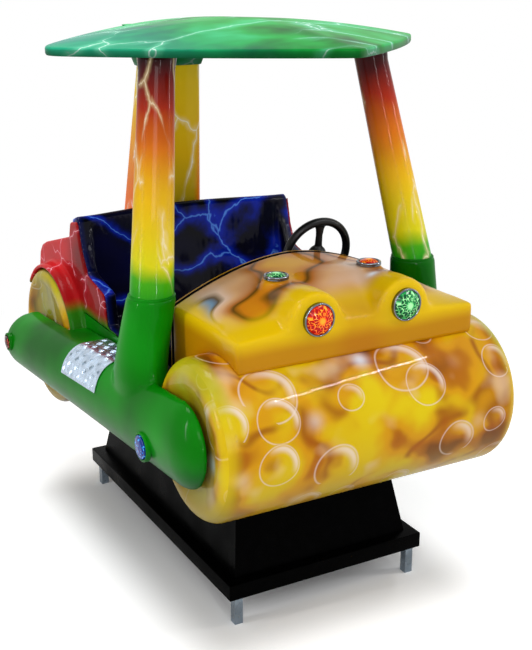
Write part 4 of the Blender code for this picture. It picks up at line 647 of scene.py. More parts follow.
def lens(name, colour, deep, glow, centre=None, axis=None):
    """Cut lamp plastic: radial facets round the middle, with painted highlights as bright sparks between
    deep ones.
    """
    paint = Paint(name, colour, 0.12, coat=0.15)
    paint.set("Specular IOR Level", 0.12)
    if centre is None:
        # Reflectors: a painted glint in the middle of each small cell.
        facet = paint.cells(110.0, paint.place, 'F1')
        spark = paint.span(facet, 0.10, 0.45, 1.0, 0.0)
    else:
        local = paint.shift(paint.place, place=tuple(-Vector(centre)))
        across = paint.axis('X', local)
        rise = paint.axis('Z' if abs(axis[1]) > 0.5 else 'Y', local)
        turn = paint.math('ARCTAN2', rise, across)
        reach = paint.math('SQRT',
                           paint.plus(paint.math('POWER', rise, 2.0), paint.math('POWER', across, 2.0)))
        polar = paint.pack(paint.times(turn, 1.9), paint.times(reach, 62.0), 0.0)
        facet = paint.cells(1.5, polar, 'DISTANCE_TO_EDGE', 0.9)
        # Painted highlights: bright streaks along the facet edges, brighter in patches.
        painted_highlight_lines = paint.span(facet, 0.02, 0.13, 1.0, 0.0)
        spark = paint.times(painted_highlight_lines, paint.span(paint.noise(1.6, 2.0, polar), 0.34, 0.62, 0.15, 1.0))
        middle = paint.span(reach, 0.004, 0.016, 1.0, 0.0)
        spark = paint.math('MAXIMUM', spark, paint.times(middle, 0.8))
    tint = paint.ramp(spark, [(0.0, deep), (0.30, colour), (0.85, glow)])
    paint.set("Base Color", tint)
    # Painted glow: every lens glows faintly in its tint; the reflectors glow too, with their painted
    # glints, though they are no lamps.
    paint.set("Emission Color", tint)
    paint.set("Emission Strength", 0.30)
    paint.bump(facet, 0.5, 0.002)
    return paint.material


# ---------------------------------------------------------------- camera, light and floor
CAMERA_PLACE = (-1.554, -2.9685, 1.773)
CAMERA_PITCH, CAMERA_YAW = math.radians(18.1), math.radians(29.0)
CAMERA_LENS = 62.9
SKY_LIGHT = 0.30               # the white world as seen by diffuse rays


def studio():
    """The photograph's viewing angle, soft boxes, white surroundings and a pale floor."""
    camera = bpy.data.objects.new("camera", bpy.data.cameras.new("camera"))
    bpy.context.collection.objects.link(camera)
    camera.location = CAMERA_PLACE
    pitch, yaw = CAMERA_PITCH, CAMERA_YAW
    gaze = Vector((math.sin(yaw) * math.cos(pitch), math.cos(yaw) * math.cos(pitch), -math.sin(pitch)))
    camera.rotation_euler = gaze.to_track_quat('-Z', 'Y').to_euler()
    camera.data.sensor_width = 36.0
    camera.data.lens = CAMERA_LENS
    camera.data.clip_end = 60.0
    bpy.context.scene.camera = camera

    def softbox(name, place, target, size, power):
        light = bpy.data.lights.new(name, 'AREA')
        light.shape = 'RECTANGLE'
        light.size, light.size_y = size
        light.energy = power
        item = bpy.data.objects.new(name, light)
        bpy.context.collection.objects.link(item)
        item.location = place
        aim = Vector(target) - Vector(place)
        item.rotation_euler = aim.to_track_quat('-Z', 'Y').to_euler()

    softbox("key_softbox", (-1.5, -2.9, 2.5), (0.0, -0.1, 0.7), (1.2, 1.0), 22.0)
    softbox("top_softbox", (-0.7, 0.9, 3.6), (0.0, -0.1, 0.6), (1.6, 1.0), 44.0)
    softbox("drum_strip", (1.55, -1.85, 3.2), (0.0, -0.6, 0.7), (1.5, 0.05), 22.0)
    softbox("right_strip", (2.9, -1.6, 1.7), (0.0, -0.2, 0.8), (0.04, 2.0), 22.0)
    softbox("left_strip", (-3.0, -0.2, 1.7), (0.0, 0.0, 0.8), (0.04, 2.0), 22.0)
    softbox("front_strip", (-0.5, -3.6, 1.5), (0.0, 0.0, 0.7), (0.05, 1.6), 18.0)

    world = bpy.data.worlds.new("studio")
    bpy.context.scene.world = world
    world.use_nodes = True
    nodes, links = world.node_tree.nodes, world.node_tree.links
    sky = nodes["Background"]
    seen = light_path_white(nodes, links)
    mixer = nodes.new('ShaderNodeMapRange')
    mixer.inputs['To Min'].default_value = SKY_LIGHT
    mixer.inputs['To Max'].default_value = 1.0
    links.new(seen, mixer.inputs['Value'])
    links.new(mixer.outputs[0], sky.inputs['Strength'])
    sky.inputs['Color'].default_value = (1.0, 1.0, 1.0, 1.0)

    bpy.ops.mesh.primitive_circle_add(vertices=96, radius=24.0, fill_type='NGON')
    floor = bpy.context.object
    floor.name = "studio_floor"
    floor.data.materials.append(floor_paint())
    bpy.context.scene.view_settings.view_transform = 'Standard'


def light_path_white(nodes, links):
    """1 for camera, glossy and transmission rays, else 0."""
    path = nodes.new('ShaderNodeLightPath')
    total = path.outputs['Is Camera Ray']
    for name in ('Is Glossy Ray', 'Is Transmission Ray'):
        add = nodes.new('ShaderNodeMath')
        add.operation = 'MAXIMUM'
        links.new(total, add.inputs[0])
        links.new(path.outputs[name], add.inputs[1])
        total = add.outputs[0]
    return total


FLOOR_GREY = 0.95
SHADOW_SHIFT = (0.015, 0.045, 0.0)     # middle of the painted shadow pool, from the slab's
POOL_WIDTH = 0.23                      # from the slab's edge to the brighter floor
POOL_LIFT = (0.04, 0.52)               # emission in the painted shadow pool and beyond it
FADE = (1.3, 2.6)                      # distances where the floor turns to pure white


def floor_paint():
    """Pale floor near the object that keeps its shadow, darkened further by painted shadow round the slab,
    and turns pure white further out.
    """
    material = bpy.data.materials.new("studio_floor")
    material.use_nodes = True
    nodes, links = material.node_tree.nodes, material.node_tree.links
    nodes.clear()

    def vector_math(operation, source, second=None):
        item = nodes.new('ShaderNodeVectorMath')
        item.operation = operation
        links.new(source, item.inputs[0])
        if second:
            item.inputs[1].default_value = second
        return item.outputs['Value' if operation == 'LENGTH' else 'Vector']

    def smooth_range(source, values):
        item = nodes.new('ShaderNodeMapRange')
        item.interpolation_type = 'SMOOTHSTEP'
        links.new(source, item.inputs['Value'])
        for name, value in values.items():
            item.inputs[name].default_value = value
        return item.outputs[0]

    def matt(grey):
        item = nodes.new('ShaderNodeBsdfDiffuse')
        item.inputs['Color'].default_value = (grey, grey, grey, 1.0)
        return item.outputs[0]

    def mixed(kind, *sources):
        item = nodes.new(kind)
        for index, source in enumerate(sources):
            links.new(source, item.inputs[index])
        return item.outputs[0]

    place = nodes.new('ShaderNodeTexCoord').outputs['Object']
    # Painted shadow: the floor's emission is lowered in a band round the slab, darkening it beyond its real
    # shadow.
    aside = vector_math('ABSOLUTE', vector_math('ADD', place, SHADOW_SHIFT))
    beyond = vector_math('SUBTRACT', aside, (SLAB_HIGH.x, SLAB_HIGH.y, 0.0))
    apart = vector_math('LENGTH', vector_math('MAXIMUM', beyond))
    lift = nodes.new('ShaderNodeEmission')
    painted_shadow_pool = smooth_range(apart, {'From Max': POOL_WIDTH, 'To Min': POOL_LIFT[0], 'To Max': POOL_LIFT[1]})
    links.new(painted_shadow_pool, lift.inputs['Strength'])
    lit = mixed('ShaderNodeAddShader', matt(FLOOR_GREY), lift.outputs[0])
    fade = smooth_range(vector_math('LENGTH', place), {'From Min': FADE[0], 'From Max': FADE[1]})
    far = mixed('ShaderNodeMixShader', fade, lit, nodes.new('ShaderNodeEmission').outputs[0])
    final = mixed('ShaderNodeMixShader', light_path_white(nodes, links), matt(0.80), far)
    links.new(final, nodes.new('ShaderNodeOutputMaterial').inputs[0])
    return material


def dress(item, material, body, *nodes, slot=None):
    """Give a piece its material and body, and let it stand for CAD nodes."""
    item.data.materials.clear()
    item.data.materials.append(material)
    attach(item, body)
    if nodes:
        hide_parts(*nodes)
    return item


# ---------------------------------------------------------------- drums
def drum_profile(half, radius, fillet, dish):
    """End face slightly dished, a full round at the rim, then the barrel."""
    points = [(-half + dish, 0.0), (-half + dish, radius - fillet * 1.9), (-half, radius - fillet * 1.35)]
    points += [(-half + fillet * (1 - math.sin(t)), radius - fillet * (1 - math.cos(t)))
               for t in [math.pi / 2 * (1 - i / 12) for i in range(13)]]
    return points + [(-along, reach) for along, reach in reversed(points)]


def drums():
    """The two roller barrels."""
    for node, low, high, axis, radius, fillet, seed in (
            ("front_drum", DRUM_LOW, DRUM_HIGH, DRUM_AXIS, DRUM_RADIUS, 0.045, (0.0, 0.0, 0.0)),
            ("rear_drum", REAR_LOW, REAR_HIGH, REAR_AXIS, REAR_RADIUS, 0.030, (4.0, 2.0, 1.0))):
        half = (high.x - low.x) / 2
        item = revolve(f"{node}_moulding", axis, (1, 0, 0), drum_profile(half, radius, fillet, 0.009), 128)
        smooth(item)
        dress(item, drum_paint(f"{node}_gelcoat", axis, radius, half, seed), "ride", node)


# ---------------------------------------------------------------- side members and post bases
MEMBER_END_Y = 0.600
NOSE = 0.118                   # member's round nose, ahead of the front drum's axis
MEMBER_FRONT = (0.4513, 0.598, 0.062, 0.118)     # middle x, middle z, bulge, half height
MEMBER_REAR = (0.470, 0.526, 0.095, 0.095)
POST_FOOT = (0.4225, -0.3035)
POST_HEAD = (0.331, -0.1745)
POST_SOCKET = (                # z, middle x, half x, middle y, half y
    (0.600, 0.452, 0.060, -0.268, 0.150), (0.660, 0.452, 0.064, -0.272, 0.130),
    (0.690, 0.4515, 0.066, -0.276, 0.112), (0.725, 0.4495, 0.0660, -0.281, 0.098),
    (0.770, 0.4450, 0.0660, -0.286, 0.089), (0.830, 0.4365, 0.0660, -0.293, 0.079),
    (0.880, 0.4285, 0.0660, -0.299, 0.071), (0.908, 0.4240, 0.0662, -0.3025, 0.0675),
    (0.9150, 0.4225, 0.0645, -0.3035, 0.0655))


AT_BODY = (-0.356, 0.314)      # where the member reaches in to the tub, from and to in y
AT_REAR = (0.30, 0.625)        # and to the rear drum
SIDE_GAP = 0.0006
RIM_TALL, RIM_ROLL = 0.010, 0.0034               # raised rims round the reflectors
REFLECTOR_RIMS = (("front", 0.0335), ("rear", 0.0235))
LIP_INNER, LIP_OUTER, LIP_ROLL = 0.055, 0.0635, 0.0035     # roll at the top of a post's socket


def member_section(y):
    """Middle x, middle z, bulge and half height of the side member."""
    t = (min(max(y, DRUM_AXIS.y), MEMBER_END_Y) - DRUM_AXIS.y) / (MEMBER_END_Y - DRUM_AXIS.y)
    return tuple(mix(a, b, t) for a, b in zip(MEMBER_FRONT, MEMBER_REAR))


def member_ring(y, side, inner_x, scale=1.0):
    """A side member's D-shaped section, flat at inner_x."""
    middle, z, bulge, half = member_section(y)
    ring = [(side * inner_x, y, z + half * scale)]
    for i in range(33):
        turn = math.pi / 2 - math.pi * i / 32
        x = middle + bulge * scale * math.cos(turn)
        ring.append((side * x, y, z + half * scale * math.sin(turn)))
    ring.append((side * inner_x, y, z - half * scale))
    return ring


def side_members():
    """Fat round rails at both sides, each moulded with the socket of its front post."""
    material = member_paint()
    at_drum, at_body, at_rear = DRUM_HIGH.x + SIDE_GAP, BODY_HALF + SIDE_GAP, REAR_HIGH.x + SIDE_GAP
    for name, side in (("right", -1), ("left", 1)):
        rings = []
        for degrees in (88, 80, 70, 60, 50, 40, 30, 20, 10, 0):
            turn = math.radians(degrees)
            rings.append(member_ring(DRUM_AXIS.y - NOSE * math.sin(turn), side, at_drum, math.cos(turn)))
        rings += [member_ring(mix(DRUM_AXIS.y, MEMBER_END_Y, i / 30), side, at_drum) for i in range(1, 31)]
        for degrees in (15, 30, 45, 60, 75, 88):
            turn = math.radians(degrees)
            rings.append(member_ring(MEMBER_END_Y + 0.060 * math.sin(turn), side, at_drum,
                                     1 - 0.38 * (1 - math.cos(turn))))
        log = loft("log", rings)
        inboard = loft("inboard",
                       [member_ring(mix(*AT_BODY, i / 12), side, at_body, 0.995) for i in range(13)])
        tail = loft("tail", [member_ring(mix(*AT_REAR, i / 8), side, at_rear, 0.99) for i in range(9)])

        base_top = Vector((side * POST_FOOT[0], POST_FOOT[1], BASE_HIGH.z))
        rings = []
        for z, out_x, half_x, y, half_y in POST_SOCKET:
            rings.append([(side * out_x + half_x * math.cos(t), y + half_y * math.sin(t), z)
                          for t in turns(48)])
        socket = loft("socket", rings)
        item = mould(join(f"side_moulding_{name}", [log, inboard, tail, socket]), 0.0050, 14)
        for end, reach in REFLECTOR_RIMS:
            low, high = corners_of(f"{end}_reflector_{name}")
            start = Vector((side * (max(abs(low.x), abs(high.x)) - 0.020), (low.y + high.y) / 2,
                            (low.z + high.z) / 2))
            profile = [(0.0, reach), (0.0, reach + 0.0075), (RIM_TALL, reach + 0.0070)]
            profile += [(RIM_TALL + RIM_ROLL * math.sin(t), reach + 0.0036 + RIM_ROLL * math.cos(t))
                        for t in half_turns(8)]
            boss = smooth(revolve(f"{end}_reflector_rim_{name}", start, (side, 0, 0), profile, 48,
                                  ring=True))
            dress(boss, material, "ride", slot="green_gelcoat")
        dress(item, material, "ride", f"side_member_{name}", f"post_base_{name}")
        profile = [(0.0, LIP_INNER), (0.0, 0.0615)]
        profile += [(RIM_TALL + LIP_ROLL * math.sin(t), LIP_OUTER + LIP_ROLL * math.cos(t) - LIP_ROLL)
                    for t in half_turns(8)]
        profile.append((RIM_TALL, LIP_INNER))
        lip = revolve(f"post_base_lip_{name}", base_top - Vector((0, 0, RIM_TALL)), (0, 0, 1), profile,
                      64, ring=True)
        dress(smooth(lip), material, "ride", slot="green_gelcoat")


# ---------------------------------------------------------------- posts, roof and support
POST_RADII = (0.059, 0.0475)   # at the socket and at the roof
POST_FLARE = 0.006             # of the last 7 per cent, under the roof
SUPPORT_SPAN = (0.800, 1.436)
SUPPORT_TAPER = (0.86, 1.43)   # heights of the foot and head that are listed below


def front_posts():
    """Tapered round posts that lean in from their sockets to the roof."""
    for name, side, seed in (("right", -1, (0.0, 0.0, 0.0)), ("left", 1, (3.3, 1.2, 0.6))):
        foot = Vector((side * POST_FOOT[0], POST_FOOT[1], BASE_HIGH.z - 0.004))
        head = Vector((side * POST_HEAD[0], POST_HEAD[1], POST_HIGH.z + 0.012))
        rings = []
        for i in range(33):
            t = i / 32
            flare = POST_FLARE * ease((t - 0.93) / 0.07)
            centre = foot.lerp(head, t)
            rings.append(circle(centre, (0, 0, 1), mix(*POST_RADII, t) + flare, 64))
        post = smooth(loft(f"front_post_moulding_{name}", rings))
        dress(post, post_paint(f"front_post_gelcoat_{name}", seed), "ride", f"front_post_{name}")


def rounded_box_ring(half_x, half_y, radius, centre_y, z):
    """A level rectangle with round corners."""
    steps = 8
    ring = []
    for index, (sa, sb) in enumerate(((1, 1), (-1, 1), (-1, -1), (1, -1))):
        for step in range(steps + 1):
            turn = math.pi / 2 * (index + step / steps)
            ring.append((sa * (half_x - radius) + radius * math.cos(turn),
                         centre_y + sb * (half_y - radius) + radius * math.sin(turn), z))
    return ring


DECK_FRONT = (0.4515, 0.909)   # (y, z) of the sloping rear deck
DECK_REAR = (0.6915, 0.841)
DECK_BOW = 0.055               # how far the deck's front edge bows back
DECK_RUN = 0.24                # from its front edge to its rear edge
SUPPORT_FOOT = (0.508, 0.665, 0.120)             # front y, back y, half width
SUPPORT_HEAD = (0.455, 0.530, 0.103)


def deck_height(y):
    """Height of the bowed deck on the middle line."""
    slope = (DECK_REAR[1] - DECK_FRONT[1]) / (DECK_REAR[0] - DECK_FRONT[0])
    return DECK_FRONT[1] + slope * (y - DECK_FRONT[0] - DECK_BOW) / (1 - DECK_BOW / DECK_RUN)


def rear_support():
    """Flat upright behind the seat, flared where it meets the deck."""
    rings = []
    for i in range(25):
        t = i / 24
        z = mix(*SUPPORT_SPAN, t)
        share = (z - SUPPORT_TAPER[0]) / (SUPPORT_TAPER[1] - SUPPORT_TAPER[0])
        front, back, half_x = (mix(a, b, share) for a, b in zip(SUPPORT_FOOT, SUPPORT_HEAD))
        spread = 0.016 * (1 - ease((z - deck_height((front + back) / 2) + 0.01) / 0.05))
        rings.append(rounded_box_ring(half_x + spread, (back - front) / 2 + spread, 0.024 + spread / 2,
                                      (front + back) / 2, z))
    item = smooth(loft("rear_support_moulding", rings), 60)
    dress(item, support_paint(), "ride", "rear_support")


ROOF_WIDEST_Y = -0.018
SOCKET_Y = 0.493
ROOF_SOCKET = (                # half x, half y, z, corner radius
    (0.104, 0.043, 1.4300, 0.020), (0.1075, 0.0445, 1.4310, 0.024), (0.112, 0.047, 1.4420, 0.026),
    (0.1220, 0.055, 1.470, 0.030), (0.128, 0.060, 1.505, 0.030), (0.131, 0.062, 1.535, 0.030),
    (0.140, 0.068, 1.5580, 0.034))


def roof_outline():
    """Kite with bowed sides and rounded corners, as (x, y) points."""
    tip_front, tip_rear = (0.0, ROOF_LOW.y), (0.0, ROOF_HIGH.y)
    wide = (ROOF_HIGH.x, ROOF_WIDEST_Y)
    corners = [tip_front, wide, tip_rear, (-wide[0], wide[1])]
    per_side = 60
    points = []
    for k in range(4):
        a, b = Vector(corners[k]), Vector(corners[(k + 1) % 4])
        run = b - a
        out = Vector((run.y, -run.x)).normalized()
        for i in range(per_side):
            t = i / per_side
            points.append(a + run * t + out * run.length * 0.030 * 4 * t * (1 - t))
    ring = np.array([tuple(p) for p in points])
    side_weight = np.clip(np.abs(ring[:, 0]) / wide[0], 0.12, 1.0)[:, None]
    for _ in range(26):
        ring += side_weight * 0.5 * ((np.roll(ring, 1, 0) + np.roll(ring, -1, 0)) / 2 - ring)
    ring[:, 0] *= (ROOF_HIGH.x + 0.001) / np.abs(ring[:, 0]).max()
    return ring


def roof():
    """Domed canopy with a turned-down rim, and the socket that takes the rear support."""
    outline = roof_outline()
    centre = np.array((0.0, -0.06))
    rim_z = 1.556 - 0.015 * np.minimum(1.0, np.abs(outline[:, 0]) / ROOF_HIGH.x)
    apex = ROOF_HIGH.z - 0.001
    rings = []

    def ring_at(share, drop, dome=True):
        plan = centre + (outline - centre) * share
        top = rim_z + (apex - rim_z) * (1 - min(share, 1.0) ** 1.65) if dome else rim_z
        return [(x, y, z - drop) for (x, y), z in zip(plan, top)]

    shares = [0.004] + [i / 28 for i in range(1, 28)] + [0.985]
    for share in shares:
        rings.append(ring_at(share, 0.0))
    for turn in (20, 45, 70, 90):
        t = math.radians(turn)
        rings.append(ring_at(0.990 + 0.010 * math.sin(t), 0.006 * (1 - math.cos(t))))
    rings.append(ring_at(1.0, 0.017, False))
    rings.append(ring_at(0.996, 0.022, False))
    rings.append(ring_at(0.984, 0.022, False))
    rings.append(ring_at(0.979, 0.012, False))
    for share in reversed(shares[:-1]):
        rings.append(ring_at(share * 0.975, 0.010))
    item = smooth(loft("roof_moulding", rings), 50)
    flange = [rounded_box_ring(half_x, half_y, corner, SOCKET_Y, z)
              for half_x, half_y, z, corner in ROOF_SOCKET]
    socket = smooth(loft("roof_socket", flange), 60)
    material = roof_paint()
    dress(item, material, "ride", "roof")
    dress(socket, material, "ride", slot="green_gelcoat")


# ---------------------------------------------------------------- hood and lamps
LAMP_X = 0.133                 # lamp nacelles, from the middle
SHOULDER_Z = 0.876             # bonnet's side edge
NOSE_Z = 0.888                 # its front edge, on the middle line
CROWN_Z = 0.978                # its highest line
POD_HALF = 0.086               # half width of a nacelle
POD_RISE = 0.100
POD_SINK = 0.024               # how far a nacelle drops as it runs back
POD_FROM, POD_RUN = -0.600, 0.180                # where a nacelle starts to sink, and over what length
BLEND = 0.010                  # softness where nacelle and dome meet
CROWN_HALF, CROWN_RUN = 0.352, 0.220             # the dome's half width, and the length of its rise


def hood_height(x, y):
    """Crowned dome, with two lamp nacelles that fade back into it."""
    reach = min(abs(x) / CROWN_HALF, 1.0)
    rise = min(max((y - HOOD_LOW.y) / CROWN_RUN, 0.0), 1.0)
    crown = NOSE_Z + (CROWN_Z - NOSE_Z) * math.sin(rise * math.pi / 2)
    base = SHOULDER_Z + (crown - SHOULDER_Z) * (1 - reach ** 1.8)
    across = min(abs(abs(x) - LAMP_X) / POD_HALF, 1.0)
    fade = min(max((y - POD_FROM) / POD_RUN, 0.0), 1.0)
    pod = SHOULDER_Z - POD_SINK * fade + POD_RISE * math.sqrt(1 - across * across)
    high, low = max(base, pod), min(base, pod)
    gap = max(BLEND - (high - low), 0.0) / BLEND
    return high + gap * gap * BLEND / 4


def hood():
    """The bonnet, as a height field over its plan."""
    columns, rows = 96, 56
    verts, faces = [], []
    xs = [HOOD_HIGH.x * (2 * i / columns - 1) for i in range(columns + 1)]
    ys = [mix(HOOD_LOW.y, HOOD_HIGH.y, j / rows) for j in range(rows + 1)]
    for y in ys:
        reach = min(max(y, HOOD_LOW.y + 0.01) - DRUM_AXIS.y, DRUM_RADIUS)
        bottom = DRUM_AXIS.z + math.sqrt(max(DRUM_RADIUS ** 2 - reach ** 2, 0.0)) - 0.004
        bottom = max(bottom, TUB_RIM + 0.001)
        for x in xs:
            verts.append((x, y, hood_height(x, y)))
        for x in xs:
            verts.append((x, y, bottom))
    stride = 2 * (columns + 1)
    for j in range(rows):
        for i in range(columns):
            a, b = j * stride + i, (j + 1) * stride + i
            faces.append((a, a + 1, b + 1, b))
            faces.append((a + columns + 1, b + columns + 1, b + columns + 2, a + columns + 2))
        for i in (0, columns):
            a, b = j * stride + i, (j + 1) * stride + i
            faces.append((a, b, b + columns + 1, a + columns + 1))
    for j in (0, rows):
        for i in range(columns):
            a = j * stride + i
            faces.append((a, a + 1, a + columns + 2, a + columns + 1))
    solid = mesh_object("solid", verts, faces)
    tidy(solid)
    boss = [revolve("boss", (side * 0.145, -0.4815, 0.93), (0, 0, 1),
                    [(0.0, 0.046), (0.030, 0.040), (0.0375, 0.037)], 48)
            for side in (-1, 1)]
    item = mould(join("hood_moulding", [solid] + boss), 0.0045, 60)
    dress(item, hood_paint(), "ride", "hood")


LENS_DOME = (                  # share of the lens's radius, share of the lamp's depth
    (1.0, 0.62), (0.86, 0.92), (0.66, 1.16), (0.44, 1.33), (0.22, 1.42), (0.01, 1.45))


HEADLAMP = (0.0440, 0.0388, 0.0160)              # bezel's radius, lens's radius, depth
TOP_LAMP = (0.0340, 0.0268, 0.0105)


def lamp(name, node, place, axis, sizes, chrome, tint):
    """Rolled chrome bezel and a domed lens cut in rings of facets."""
    radius, lens_radius, depth = sizes
    roll = (radius - lens_radius) / 2
    middle = (radius + lens_radius) / 2
    section = [(0.0, radius), (depth * 0.45, radius - 0.0006)]
    section += [(depth * 0.55 + roll * 1.1 * math.sin(t), middle + roll * math.cos(t))
                for t in half_turns(12)]
    section += [(depth * 0.30, lens_radius - 0.0005), (0.0, lens_radius - 0.0005)]
    ring = smooth(revolve(f"{name}_bezel_ring", place, axis, section, 96, ring=True))
    dress(ring, chrome, "ride", f"{node}_bezel_{name.rsplit('_', 1)[1]}")
    facet_count = 24
    dome_radius = lens_radius - 0.0008
    out = Vector(axis).normalized()
    rings = [circle(place, axis, dome_radius, facet_count)]
    for step, (reach, rise) in enumerate(LENS_DOME, 1):
        points = circle(Vector(place) + out * depth * rise, axis, dome_radius * reach, facet_count * 2)
        rings.append(points[step % 2::2])
    dome = loft(f"{name}_lens_dome", rings)
    facets = dome.modifiers.new("facets", 'TRIANGULATE')
    facets.quad_method = 'BEAUTY'
    settle(dome)
    dress(dome, tint, "ride", f"{node}_lens_{name.rsplit('_', 1)[1]}")


def lamps():
    chrome = metal("lamp_chrome", (0.20, 0.22, 0.25), 0.16, 90.0, 0.10, 0.0)
    red = ((0.80, 0.016, 0.004), (0.42, 0.001, 0.001), (1.0, 0.42, 0.02))
    green = ((0.004, 0.40, 0.08), (0.001, 0.07, 0.02), (0.45, 0.95, 0.45))
    for name, head, top in (("right", red, green), ("left", green, red)):
        low, high = corners_of(f"headlamp_bezel_{name}")
        centre = Vector(((low.x + high.x) / 2, high.y, (low.z + high.z) / 2))
        tint = lens(f"headlamp_plastic_{name}", *head, centre, (0, -1, 0))
        lamp(f"headlamp_{name}", "headlamp", centre, (0, -1, 0), HEADLAMP, chrome, tint)
        low, high = corners_of(f"top_lamp_bezel_{name}")
        centre = Vector(((low.x + high.x) / 2, (low.y + high.y) / 2, low.z))
        tint = lens(f"top_lamp_plastic_{name}", *top, centre, (0, 0, 1))
        lamp(f"top_lamp_{name}", "top_lamp", centre, (0, 0, 1), TOP_LAMP, chrome, tint)


# ---------------------------------------------------------------- seat and rear shell
# Outlines in the (y, z) plane.
WING = [(0.0500, 0.6833), (0.0580, 0.6845), (0.1405, 0.689), (0.1615, 0.789), (0.2445, 0.806),
        (0.3125, 0.822), (0.3475, 0.888), (0.3695, 0.975), (0.385, 0.987), (0.4272, 0.971),
        (0.4272, 0.950)]
CHEEK = [(0.060, 0.600), (0.060, 0.684), (0.140, 0.685), (0.165, 0.780), (0.240, 0.795), (0.305, 0.810),
         (0.345, 0.900), (0.380, 0.970), (0.40, 0.940), (0.36, 0.600)]
INNER = [(0.075, 0.6850), (0.150, 0.686), (0.168, 0.782), (0.248, 0.799), (0.308, 0.812), (0.352, 0.886),
         (0.375, 0.965)]
UNDER = [(0.4272, 0.940), (0.405, 0.800), (0.385, 0.690), (0.345, 0.605), (0.085, 0.600), (0.080, 0.395),
         (0.060, 0.395)]
SEAT = [(0.055, 0.610), (0.055, 0.632), (0.1405, 0.6405), (0.165, 0.639), (0.300, 0.628), (0.332, 0.655),
        (0.350, 0.790), (0.3695, 0.975), (0.385, 0.987), (0.4272, 0.971), (0.4272, 0.950)]
SKIN = [(0.4350, 0.960), DECK_FRONT, DECK_REAR, (0.7350, 0.822), (0.7600, 0.795), (0.7775, 0.731),
        (0.7775, 0.665)]
WING_SIDE, CHEEK_SIDE = (0.342, 0.3790), (0.342, 0.3495)     # from and to, out from the middle
PANEL_SIDE, INNER_SIDE = (0.3792, BODY_HALF), (0.350, 0.3800)
FLARE_TURN = (36.5, 163.0)     # degrees
SEAT_HALF = 0.3437
SHELL_HALF = 0.3600
BOW_HALF = 0.345
FLARE = (                      # round the rear drum: reach past its radius, distance out
    (0.0015, BODY_HALF - 0.012), (0.0015, REAR_HIGH.x - 0.004), (0.0085, REAR_HIGH.x - 0.004),
    (0.0135, REAR_HIGH.x - 0.010), (0.0155, REAR_HIGH.x - 0.020), (0.0165, BODY_HALF + 0.010),
    (0.0240, BODY_HALF - 0.001), (0.0240, BODY_HALF - 0.012))


def side_prism(name, outline, side, near, far):
    """A prism on one side, between two distances from the middle."""
    return prism(name, outline, *sorted((side * near, side * far)))


def bow(x):
    reach = min(abs(x) / BOW_HALF, 1.0)
    return DECK_BOW * (1 - reach * reach) ** 1.5


def bowed(x, y, z):
    """The seat's back bows with the deck's front edge; its cushion stays straight."""
    return x, y + bow(x) * min(max((z - 0.66) / 0.24, 0.0), 1.0), z


def seat():
    """Bench seat with raised sides, in one moulding."""
    across = [SEAT_HALF * (2 * i / 32 - 1) for i in range(33)]
    pieces = [loft("bucket", [[bowed(x, y, z) for y, z in SEAT + UNDER] for x in across])]
    wing = WING + [(0.405, 0.800), (0.352, 0.700), (0.350, 0.6833)]
    for side in (-1, 1):
        pieces.append(side_prism("wing", wing, side, *WING_SIDE))
        pieces.append(side_prism("cheek", CHEEK, side, *CHEEK_SIDE))
    item = mould(join("seat_moulding", pieces), 0.0045, 16)
    dress(item, seat_paint(), "ride", "seat_shell")


def shell():
    """Rear bodywork: side panels, deck and tail, with flares round the rear drum."""
    radius = REAR_RADIUS + 0.012
    arch = arc((REAR_AXIS.y, REAR_AXIS.z), radius, 28, 146, 28)
    tight = arc((REAR_AXIS.y, REAR_AXIS.z), radius, 28, 120, 24)
    pieces = []
    panel = [(0.056, 0.6833)] + WING[2:8] + SKIN + arch
    for side in (-1, 1):
        pieces.append(side_prism("panel", panel, side, *PANEL_SIDE))
        pieces.append(side_prism("panel_inner", INNER + SKIN + arch, side, *INNER_SIDE))
        flare = []
        for i in range(41):
            turn = math.radians(mix(*FLARE_TURN, i / 40))
            flare.append([(side * x, REAR_AXIS.y + (REAR_RADIUS + reach) * math.cos(turn),
                           REAR_AXIS.z + (REAR_RADIUS + reach) * math.sin(turn)) for reach, x in FLARE])
        pieces.append(loft("flare", flare))
    across = [SHELL_HALF * (2 * i / 32 - 1) for i in range(33)]
    back = SKIN + tight + [(0.4300, 0.800), (0.4300, 0.950)]
    pieces.append(loft("back", [[(x, y + (bow(x) if i < 2 or i >= len(back) - 2 else 0.0), z)
                                 for i, (y, z) in enumerate(back)] for x in across]))
    item = mould(join("rear_shell_moulding", pieces), 0.0042, 12)
    dress(item, shell_paint(), "ride", "rear_shell")


# ---------------------------------------------------------------- steering wheel
RIM_RADIUS = 0.103             # to the middle of the grip
GRIP_WIDE, GRIP_DEEP = 0.012, 0.0125


